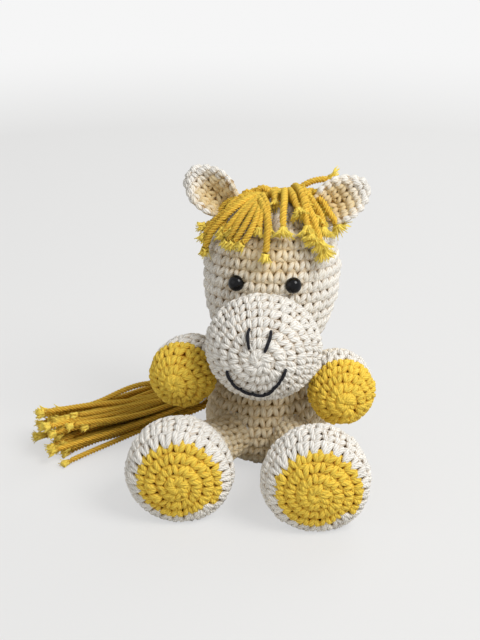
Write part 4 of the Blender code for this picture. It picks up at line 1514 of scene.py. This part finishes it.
@dataclass(frozen=True)
class Tail:
    """The long tuft of strands on the floor, and the knot that holds it on the body."""

    root: tuple[float, float, float]
    length: float = 90 * MM
    width: float = 23 * MM
    height: float = 18 * MM
    locks: int = 4
    layers: tuple[tuple[int, float], ...] = ((22, 1.0), (12, 0.66), (6, 0.28))
    yarn: Strand = Strand(radius=1.15 * MM, groove=0.45, pitch=5.4 * MM)
    splay: float = 2.4 * MM
    out_shares: tuple = (0.0, 0.12, 0.28, 0.46, 0.65, 0.82, 0.93)
    forward_shares: tuple = (0.0, -0.02, 0.06, 0.19, 0.33, 0.45, 0.53)
    width_shares: tuple = (0.30, 0.52, 0.74, 0.83, 0.88, 0.95, 1.0)
    height_shares: tuple = (0.32, 0.56, 0.80, 0.86, 0.88, 0.95, 1.0)
    fold_shares: tuple = (0.0, 0.0, 0.06, 0.12, 0.20, 0.34, 0.45)
    hang_shares: tuple = (1.0, 0.78, 0.38, 0.10, 0.0, 0.0, 0.0)
    strays: tuple = (
        Stray(0.97, (-0.1, -0.2), (0.85, 0.9), 5.0 * MM, 0.56),
        Stray(0.80, (0.5, 1.0), (0.7, 0.35)),
        Stray(0.93, (0.5, 1.45), (-0.5, -1.0)),
        Stray(0.97, (0.5, -0.2), (0.7, 1.05), 1.6 * MM, 0.7),
        Stray(0.99, (-0.6, 0.7), (0.6, 0.75), 1.2 * MM, 0.5),
    )
    samples: int = 80
    # How the strands wander: the height and count of their waves, how far they change places, and what folds take.
    wave: float = 0.15
    waves: tuple[float, float] = (1.0, 2.4)
    change: float = 0.65
    gather: float = 0.5
    fold_depth: float = 0.6
    uneven: tuple[float, float] = (0.9, 1.1)
    wave_reach: float = 0.5
    # From this share of the length the strands part, by its square over the second number.
    parting: float = 0.62
    parted: float = 0.144
    ends: tuple[float, float] = (0.82, 1.0)
    arch_width: float = 0.13
    rest_lift: float = 1.05 * STRAND_RADIUS
    wrap_at: float = 4 * MM
    wrap_radius: float = 2.8 * MM
    knot_radius: float = 2.9 * MM
    knot_tilts: tuple[float, ...] = (0.0, 1.1, 2.2)
    wrap_turns: tuple[float, float] = (2.2, 1.4)

    def build(self, finishes: Finishes, rng: np.random.Generator) -> None:
        """Lays the strands, spread over the tuft's section, and ties the knot."""
        root = np.array(self.root)
        shares = [self.out_shares, self.forward_shares, self.width_shares, self.height_shares]
        shares += [self.fold_shares, self.hang_shares]
        out, forward, wide, high, fold, hang = smooth(np.array(shares).T, self.samples).T
        lying = self.height * high / 2 - root[2]
        line = np.stack([-self.length * out, -self.length * forward, lying * (1 - hang)], 1) + root
        way = unit(np.gradient(line, axis=0))
        across = unit(np.stack([-way[:, 1], way[:, 0], 0 * out], 1))
        half_width, half_height = self.width * wide / 2 - STRAND_RADIUS, self.height * high / 2 - STRAND_RADIUS
        skein = Skein()
        share = np.linspace(0, 1, self.samples)
        blend = share**2 * (3 - 2 * share)

        def lay(u: Array, w: Array, lift: Array, length: float) -> None:
            """Lays one strand at places across and over the section."""
            path = line + across * (u * half_width)[:, None]
            path[:, 2] = np.maximum(path[:, 2] + w * half_height + lift, self.rest_lift)
            self.yarn.lay(skein, path[: int(self.samples * length)], rng)

        places = [(2 * np.pi * (k + rng.random()) / n, reach) for n, reach in self.layers for k in range(n)]
        for angle, reach in places:
            wave = np.sin(2 * np.pi * (share * rng.uniform(*self.waves) + rng.random()))
            wave *= self.wave * np.sqrt(share)
            swing = angle + rng.normal(0, self.change) * blend + wave
            swing += self.gather * fold * np.sin(self.locks * swing)
            folded = 1 - self.fold_depth * fold * (1 + np.cos(self.locks * swing)) / 2
            reach = reach * rng.uniform(*self.uneven) * folded + self.wave_reach * wave[::-1]
            apart = np.clip(share - self.parting, 0, 1) ** 2 / self.parted
            u = reach * np.cos(swing) + rng.normal(0, self.splay) * apart / half_width
            w = reach * np.sin(swing)
            lay(u, w, rng.normal(0, self.splay) * apart, rng.uniform(*self.ends))
        for stray in self.strays:
            u = stray.across[0] + (stray.across[1] - stray.across[0]) * blend**2
            w = stray.over[0] + (stray.over[1] - stray.over[0]) * blend**2
            lay(u, w, stray.arch * np.exp(-(((share - stray.arch_at) / self.arch_width) ** 2)), stray.length)
        wrap(skein, root + way[4] * self.wrap_at, way[4], self.wrap_radius, rng, self.wrap_turns[0])
        dress(skein.piece("tail_strands", finishes.strands), ("tail_yarn",), "tail")
        knot = Skein()
        for tilt in self.knot_tilts:
            turn = np.array(Matrix.Rotation(tilt, 3, (0.3, 1.0, 0.2)) @ Vector((0.2, 0.3, 1.0)))
            wrap(knot, root, turn, self.knot_radius, rng, self.wrap_turns[1])
        dress(knot.piece("tail_knot_wraps", finishes.strands), ("tail_knot",), "torso")


@dataclass(frozen=True)
class Mane:
    """Short strands down the back of the head, hidden from the photograph."""

    down: tuple[float, float] = (7 * MM, 62 * MM)
    rows: int = 9
    length: float = 15 * MM
    fans: tuple[float, ...] = (0.2, 0.7, 1.2)
    samples: int = 12
    least_radius: float = 6 * MM
    rise: float = 2.8 * MM
    rise_start: float = 0.15

    def build(self, finishes: Finishes, head: Form, rng: np.random.Generator) -> None:
        """Lays strands from each row, which fall to both sides."""
        skein = Skein()
        back = self.back_turn(head)
        for arc in np.linspace(*self.down, self.rows):
            radius = max(np.interp(arc, head.arc, head.radius), self.least_radius)
            for side in (-1, 1):
                for fan in self.fans:
                    share = np.linspace(0, 1, self.samples)
                    fall = arc + share * self.length * math.cos(fan) * rng.uniform(0.85, 1.15)
                    turn = back + side * share * self.length * math.sin(fan) / (2 * math.pi * radius)
                    fall = np.minimum(fall, head.arc[-1])
                    points, ups = head.at(fall, turn)
                    arch = np.sin(np.pi * np.minimum(share + self.rise_start, 1.0))
                    lift = STRAND_RADIUS + self.rise * arch * rng.uniform(0.6, 1)
                    Strand().lay(skein, points + ups * lift[:, None], rng)
        dress(skein.piece("mane_strands", finishes.strands), ("mane_yarn",), "head")

    def back_turn(self, head: Form) -> float:
        """The share of a turn at which the head's skin faces straight back."""
        ring = head.skin[len(head.skin) // 2]
        return ring[:, 1].argmax() / len(ring)


@dataclass(frozen=True)
class Filling:
    """Polyester fibre pushed into a sewn form until it swells against the cover."""

    node: str
    body: str
    voxel: float = 2.5 * MM
    swell: float = 0.9 * MM
    frames: int = 12
    pressure: float = 4.0
    quality: int = 4

    def build(self, finishes: Finishes) -> None:
        """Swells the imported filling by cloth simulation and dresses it."""
        deselect()
        piece = add_object(f"{self.node}_fibre", FRAME["nodes"][self.node].data.copy())
        piece.matrix_world = FRAME["nodes"][self.node].matrix_world
        bpy.context.view_layer.objects.active = piece
        piece.select_set(True)
        remesh = piece.modifiers.new("voxels", "REMESH")
        remesh.mode, remesh.voxel_size = "VOXEL", self.voxel
        bpy.ops.object.modifier_apply(modifier=remesh.name)
        self.press(piece)
        finer = piece.modifiers.new("finer", "SUBSURF")
        finer.levels = finer.render_levels = 1
        bpy.ops.object.modifier_apply(modifier=finer.name)
        piece.data.materials.clear()
        piece.data.materials.append(finishes.fibre)
        bpy.ops.object.shade_smooth()
        dress(piece, (self.node,), self.body)

    def press(self, piece: Object) -> None:
        """Runs the cloth simulation and caps how far each point moves."""
        rest = np.empty(len(piece.data.vertices) * 3)
        piece.data.vertices.foreach_get("co", rest)
        cloth = piece.modifiers.new("swell", "CLOTH")
        cloth.settings.use_pressure = True
        cloth.settings.uniform_pressure_force = self.pressure
        cloth.settings.effector_weights.gravity = 0.0
        cloth.settings.quality = self.quality
        for frame in range(1, self.frames + 1):
            bpy.context.scene.frame_set(frame)
        bpy.ops.object.modifier_apply(modifier=cloth.name)
        bpy.context.scene.frame_set(1)
        moved = np.empty_like(rest)
        piece.data.vertices.foreach_get("co", moved)
        step = (moved - rest).reshape(-1, 3)
        length = np.linalg.norm(step, axis=1, keepdims=True)
        step *= np.minimum(1.0, self.swell / np.maximum(length, TINY))
        piece.data.vertices.foreach_set("co", (rest.reshape(-1, 3) + step).ravel())
        piece.data.update()


@dataclass
class Studio:
    """A plain pale floor, soft lamps and an even surround."""

    floor_colour: str = "cfcecb"
    roughness: float = 0.9
    floor_size: float = 3.0
    lamps: tuple = (
        ("key", (0.50, -0.29, 0.72), 0.42, 6.0),
        ("fill", (-0.60, -0.50, 0.40), 0.60, 0.6),
        ("rim", (0.25, 0.60, 0.55), 0.50, 1.6),
    )
    surround: float = 0.38
    white: float = 0.92
    lift: float = 0.62
    near: float = 0.10
    far: float = 0.75
    aim: tuple[float, float, float] = (0.0, 0.0, 0.05)

    def build(self) -> None:
        """Lays the floor and hangs the lamps."""
        deselect()
        bpy.ops.mesh.primitive_plane_add(size=self.floor_size, location=(0, 0, 0))
        floor = bpy.context.active_object
        floor.name = "studio_floor"
        floor.data.materials.append(self.floor_material())
        for name, place, size, power in self.lamps:
            data = bpy.data.lights.new(name, "AREA")
            data.size, data.energy = size, power
            lamp = add_object(name, data)
            lamp.location = place
            lamp.rotation_euler = (Vector(self.aim) - Vector(place)).to_track_quat("-Z", "Y").to_euler()
        world = bpy.data.worlds.new("surround")
        world.use_nodes = True
        sky = world.node_tree.nodes["Background"]
        sky.inputs[0].default_value = (1, 1, 1, 1)
        node = partial(add_node, world.node_tree)
        path = node("ShaderNodeLightPath")
        rays = {k: path.outputs[f"Is {kind} Ray"] for k, kind in enumerate(("Camera", "Glossy"))}
        seen = node("ShaderNodeMath", rays, operation="MAXIMUM")
        strength = node("ShaderNodeMapRange", {"Value": seen, "To Min": self.surround, "To Max": self.white})
        world.node_tree.links.new(strength.outputs[0], sky.inputs[1])
        bpy.context.scene.world = world
        bpy.context.scene.view_settings.view_transform = "Standard"

    def floor_material(self) -> Material:
        """Matt pale paper, which turns into even white away from the toy."""
        look = {"Base Color": linear(self.floor_colour), "Roughness": self.roughness}
        material, tree, shader = new_material("pale_paper_floor", look)
        node = partial(add_node, tree)
        place = node("ShaderNodeTexCoord").outputs["Object"]
        away = node("ShaderNodeVectorMath", {0: place}, operation="LENGTH").outputs["Value"]
        steps = {"Value": away, "From Min": self.near, "From Max": self.far}
        distance = node("ShaderNodeMapRange", steps, interpolation_type="SMOOTHSTEP")
        path = node("ShaderNodeLightPath")
        rays = [path.outputs[f"Is {kind} Ray"] for kind in ("Camera", "Glossy", "Transmission")]
        seen = node("ShaderNodeMath", {0: rays[0], 1: rays[1]}, operation="MAXIMUM")
        seen = node("ShaderNodeMath", {0: seen, 1: rays[2]}, operation="MAXIMUM")
        lifted = node("ShaderNodeMath", {0: distance, 1: self.lift}, operation="MAXIMUM")
        share = node("ShaderNodeMath", {0: seen, 1: lifted}, operation="MULTIPLY")
        white = node("ShaderNodeEmission", {"Color": (1, 1, 1, 1), "Strength": self.white})
        mix = node("ShaderNodeMixShader", {0: share, 1: shader, 2: white})
        tree.links.new(mix.outputs[0], tree.nodes["Material Output"].inputs["Surface"])
        return material


# Pixels of the photograph, from its top left corner, along each thread and each strand.
FACE_PIXELS = {
    "nostril_left": ((250.0, 329.0), (248.0, 336.0), (248.4, 343.0), (248.6, 349.0)),
    "nostril_right": ((271.3, 331.3), (270.2, 337.0), (267.6, 345.0), (264.6, 351.8)),
    "mouth_thread": (
        (227.6, 370.5),
        (230.7, 378.6),
        (237.0, 386.0),
        (246.0, 391.0),
        (256.6, 393.8),
        (266.4, 393.3),
        (273.6, 387.5),
        (280.7, 379.5),
        (285.6, 369.2),
    ),
}
FORELOCK_PIXELS = (
    (
        Side.LEFT,
        (262.0, 199.0),
        Strand(radius=1.28 * MM, fibres=30, fibre_length=2.6 * MM),
        (2.0, 3.6, 4.2, 4.0, 2.6),
        (
            ((249, 205), (232, 213), (214, 221), (198, 228)),
            ((250, 202), (237, 206), (222, 214), (213, 226)),
            ((252, 207), (238, 216), (222, 228), (201, 242)),
            ((249, 210), (235, 222), (220, 238), (211, 256)),
            ((252, 211), (242, 223), (233, 233), (224, 241)),
            ((255, 211), (246, 223), (238, 236), (228, 249)),
            ((258, 213), (251, 227), (243, 239), (233, 249)),
            ((261, 216), (257, 230), (250, 241), (241, 250)),
            ((264, 212), (268, 228), (268, 244), (265, 262)),
            ((252, 204), (241, 209), (233, 219), (226, 238)),
            ((262, 207), (264, 217), (262, 228), (259, 239)),
            ((264, 205), (268, 214), (269, 226), (269, 238)),
            ((258, 208), (249, 218), (241, 229), (233, 238)),
            ((257, 191), (263, 188), (270, 194), (274, 202), (275, 212)),
            ((268, 196), (277, 193), (284, 196)),
        ),
    ),
    (
        Side.RIGHT,
        (286.0, 199.0),
        Strand(radius=1.28 * MM, fibres=100, fibre_length=2.7 * MM, fan=0.75),
        (2.2, 5.0, 6.4, 6.0, 4.6),
        (
            ((290, 195), (297, 190), (306, 184), (317, 180), (337, 178)),
            ((283, 203), (282, 215), (281, 228), (281, 241)),
            ((287, 203), (289, 210), (292, 217), (296, 224)),
            ((295, 208), (298, 219), (300, 230), (302, 240)),
            ((297, 212), (303, 226), (309, 242), (317, 258)),
            ((296, 206), (301, 218), (306, 232), (308, 248)),
            ((299, 206), (305, 216), (312, 228), (315, 240)),
            ((300, 203), (309, 214), (319, 226), (329, 236)),
            ((298, 201), (306, 207), (311, 213), (314, 221)),
            ((296, 196), (305, 197), (312, 202), (316, 208)),
            ((295, 193), (304, 191), (312, 192), (320, 195)),
            ((292, 196), (298, 197), (302, 201), (304, 207)),
            ((292, 200), (297, 206), (300, 212), (301, 218)),
            ((294, 203), (299, 212), (303, 220), (305, 228)),
            ((293, 197), (298, 201), (301, 207), (301, 213)),
            ((299, 199), (306, 202), (311, 209), (313, 216)),
            ((298, 206), (304, 214), (309, 223), (311, 231)),
            ((297, 209), (301, 220), (304, 232), (305, 244)),
            ((297, 210), (302, 224), (308, 239), (313, 252)),
            ((291, 201), (294, 208), (297, 216), (298, 225)),
        ),
    ),
)


def main() -> None:
    """Builds the toy, piece by piece, and the studio round it."""
    logging.basicConfig(level=logging.INFO, format="%(name)s: %(message)s")
    rng = np.random.default_rng(7)
    finishes = Finishes(
        # Worsted cotton gives the soft pale stitches of the toy, with warm painted shade deep between them.
        cream=CottonYarn("cream_cotton_yarn", "f6f3ec", "b18b4e", "e8d09a").make(),
        # The same cotton in golden yellow gives the strong colour of the hooves and the soles, with orange painted
        # shade in its creases.
        yellow=CottonYarn("golden_yellow_cotton_yarn", "f7d452", "c27c0c", "fbe880").make(),
        # Cut strands of it give the glowing tufts, and each strand has its own tone.
        strands=CottonYarn("cut_yellow_cotton_strands", "ffda56", "cf8208", "ffea70", tone_share=0.20).make(),
        # Black embroidery thread gives the face its dark lines, which catch little light.
        thread=CottonYarn(
            "black_embroidery_thread", "14141c", "08080c", "1c1c24", plies=4, roughness=0.6, sheen=0.1
        ).make(),
        # Moulded plastic gives the eyes their one sharp highlight.
        gloss=PlainFinish("black_moulded_plastic", "060609", "040406", 0.10, 0.4 * MM, 0.001 * MM, 0.22).make(),
        # Nylon gives the washers inside the head a plain waxy white.
        nylon=PlainFinish("white_moulded_nylon", "e9e7e0", "d8d5cc", 0.45, 1.5 * MM, 0.01 * MM).make(),
        # Polyester fibre gives the fillings a matt, woolly white.
        fibre=PlainFinish("white_polyester_fibre", "f7f6f2", "d9d7d0", 0.95, 0.8 * MM, 0.6 * MM, sheen=0.4).make(),
    )
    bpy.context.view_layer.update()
    view = PhotoView()
    view.camera()
    Studio().build()
    head, muzzle, body = Head(), Muzzle(), Body()
    head.measure()
    muzzle.measure(head.frame())
    body.measure()
    head.build(finishes, muzzle.form, rng)
    muzzle.build(finishes, head.form, rng)
    body.build(finishes, head.form, rng)
    arm = {
        "root": (31.7 * MM, math.radians(80)),
        "root_radius": 7.5 * MM,
        "end_radius": 12.8 * MM,
        "dome": 12.6 * MM,
        "sink": 5 * MM,
        "out_shares": (0.0, 0.36, 0.70, 0.90, 1.0),
        "forward_shares": (0.0, 0.06, 0.28, 0.60, 1.0),
        "swell_shares": (0.0, 0.24, 0.70, 0.96, 1.0),
        "yellow_rounds": 5,
    }
    leg = {
        "root": (14 * MM, math.radians(30)),
        "root_radius": 8.5 * MM,
        "end_radius": 19.7 * MM,
        "dome": 10 * MM,
        "sink": 6 * MM,
        "forward_shares": (0.0, 0.18, 0.42, 0.64, 0.82, 1.0),
        "swell_shares": (0.0, 0.06, 0.28, 0.72, 0.96, 1.0),
    }
    left_out, right_out = (0.0, 0.28, 0.62, 0.90, 1.02, 1.0), (0.0, 0.22, 0.50, 0.78, 0.94, 1.0)
    limbs = [
        Limb("arm", "hoof", Side.LEFT, reach=(13 * MM, 18.5 * MM, 7.8 * MM), **arm),
        Limb("arm", "hoof", Side.RIGHT, reach=(13 * MM, 18.5 * MM, 4.0 * MM), **arm),
        Limb("leg", "sole", Side.LEFT, reach=(13.8 * MM, 37 * MM, 3.2 * MM), out_shares=left_out, **leg),
        Limb("leg", "sole", Side.RIGHT, reach=(11 * MM, 38 * MM, 3.2 * MM), out_shares=right_out, **leg),
    ]
    for limb in limbs:
        limb.measure(body.form)
        limb.build(finishes, body.form, rng)
    for side in Side:
        ear = Ear(side)
        ear.measure(head)
        ear.build(finishes, head.form, rng)
    head_skin, muzzle_skin = Surface(head.form), Surface(muzzle.form)
    for side in Side:
        SafetyEye(side).build(finishes, head.form)
    for name, pixels in FACE_PIXELS.items():
        FaceThread(name, pixels).build(finishes, muzzle_skin, view, rng)
    for bunch in FORELOCK_PIXELS:
        Forelock(*bunch).build(finishes, head_skin, view, rng)
    Mane().build(finishes, head.form, rng)
    low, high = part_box("tail_knot")
    Tail(tuple((low + high) / 2)).build(finishes, rng)
    core = tuple(head.form.spine[len(head.form.spine) // 2])
    Seam("neck_seam", "head", sink=1.1 * MM).build(finishes, rng)
    for node in ("muzzle_seam", "ear_left_seam", "ear_right_seam"):
        Seam(node, "head", core).build(finishes, rng)
    for limb in limbs:
        join = "shoulder" if limb.name == "arm" else "hip"
        Seam(f"{join}_{limb.side.word}_seam", limb.body).build(finishes, rng)
        Filling(f"{limb.body}_stuffing", limb.body).build(finishes)
    for form, bone in (("body", "torso"), ("head", "head"), ("muzzle", "head")):
        Filling(f"{form}_stuffing", bone).build(finishes)


if __name__ == "__main__":
    main()
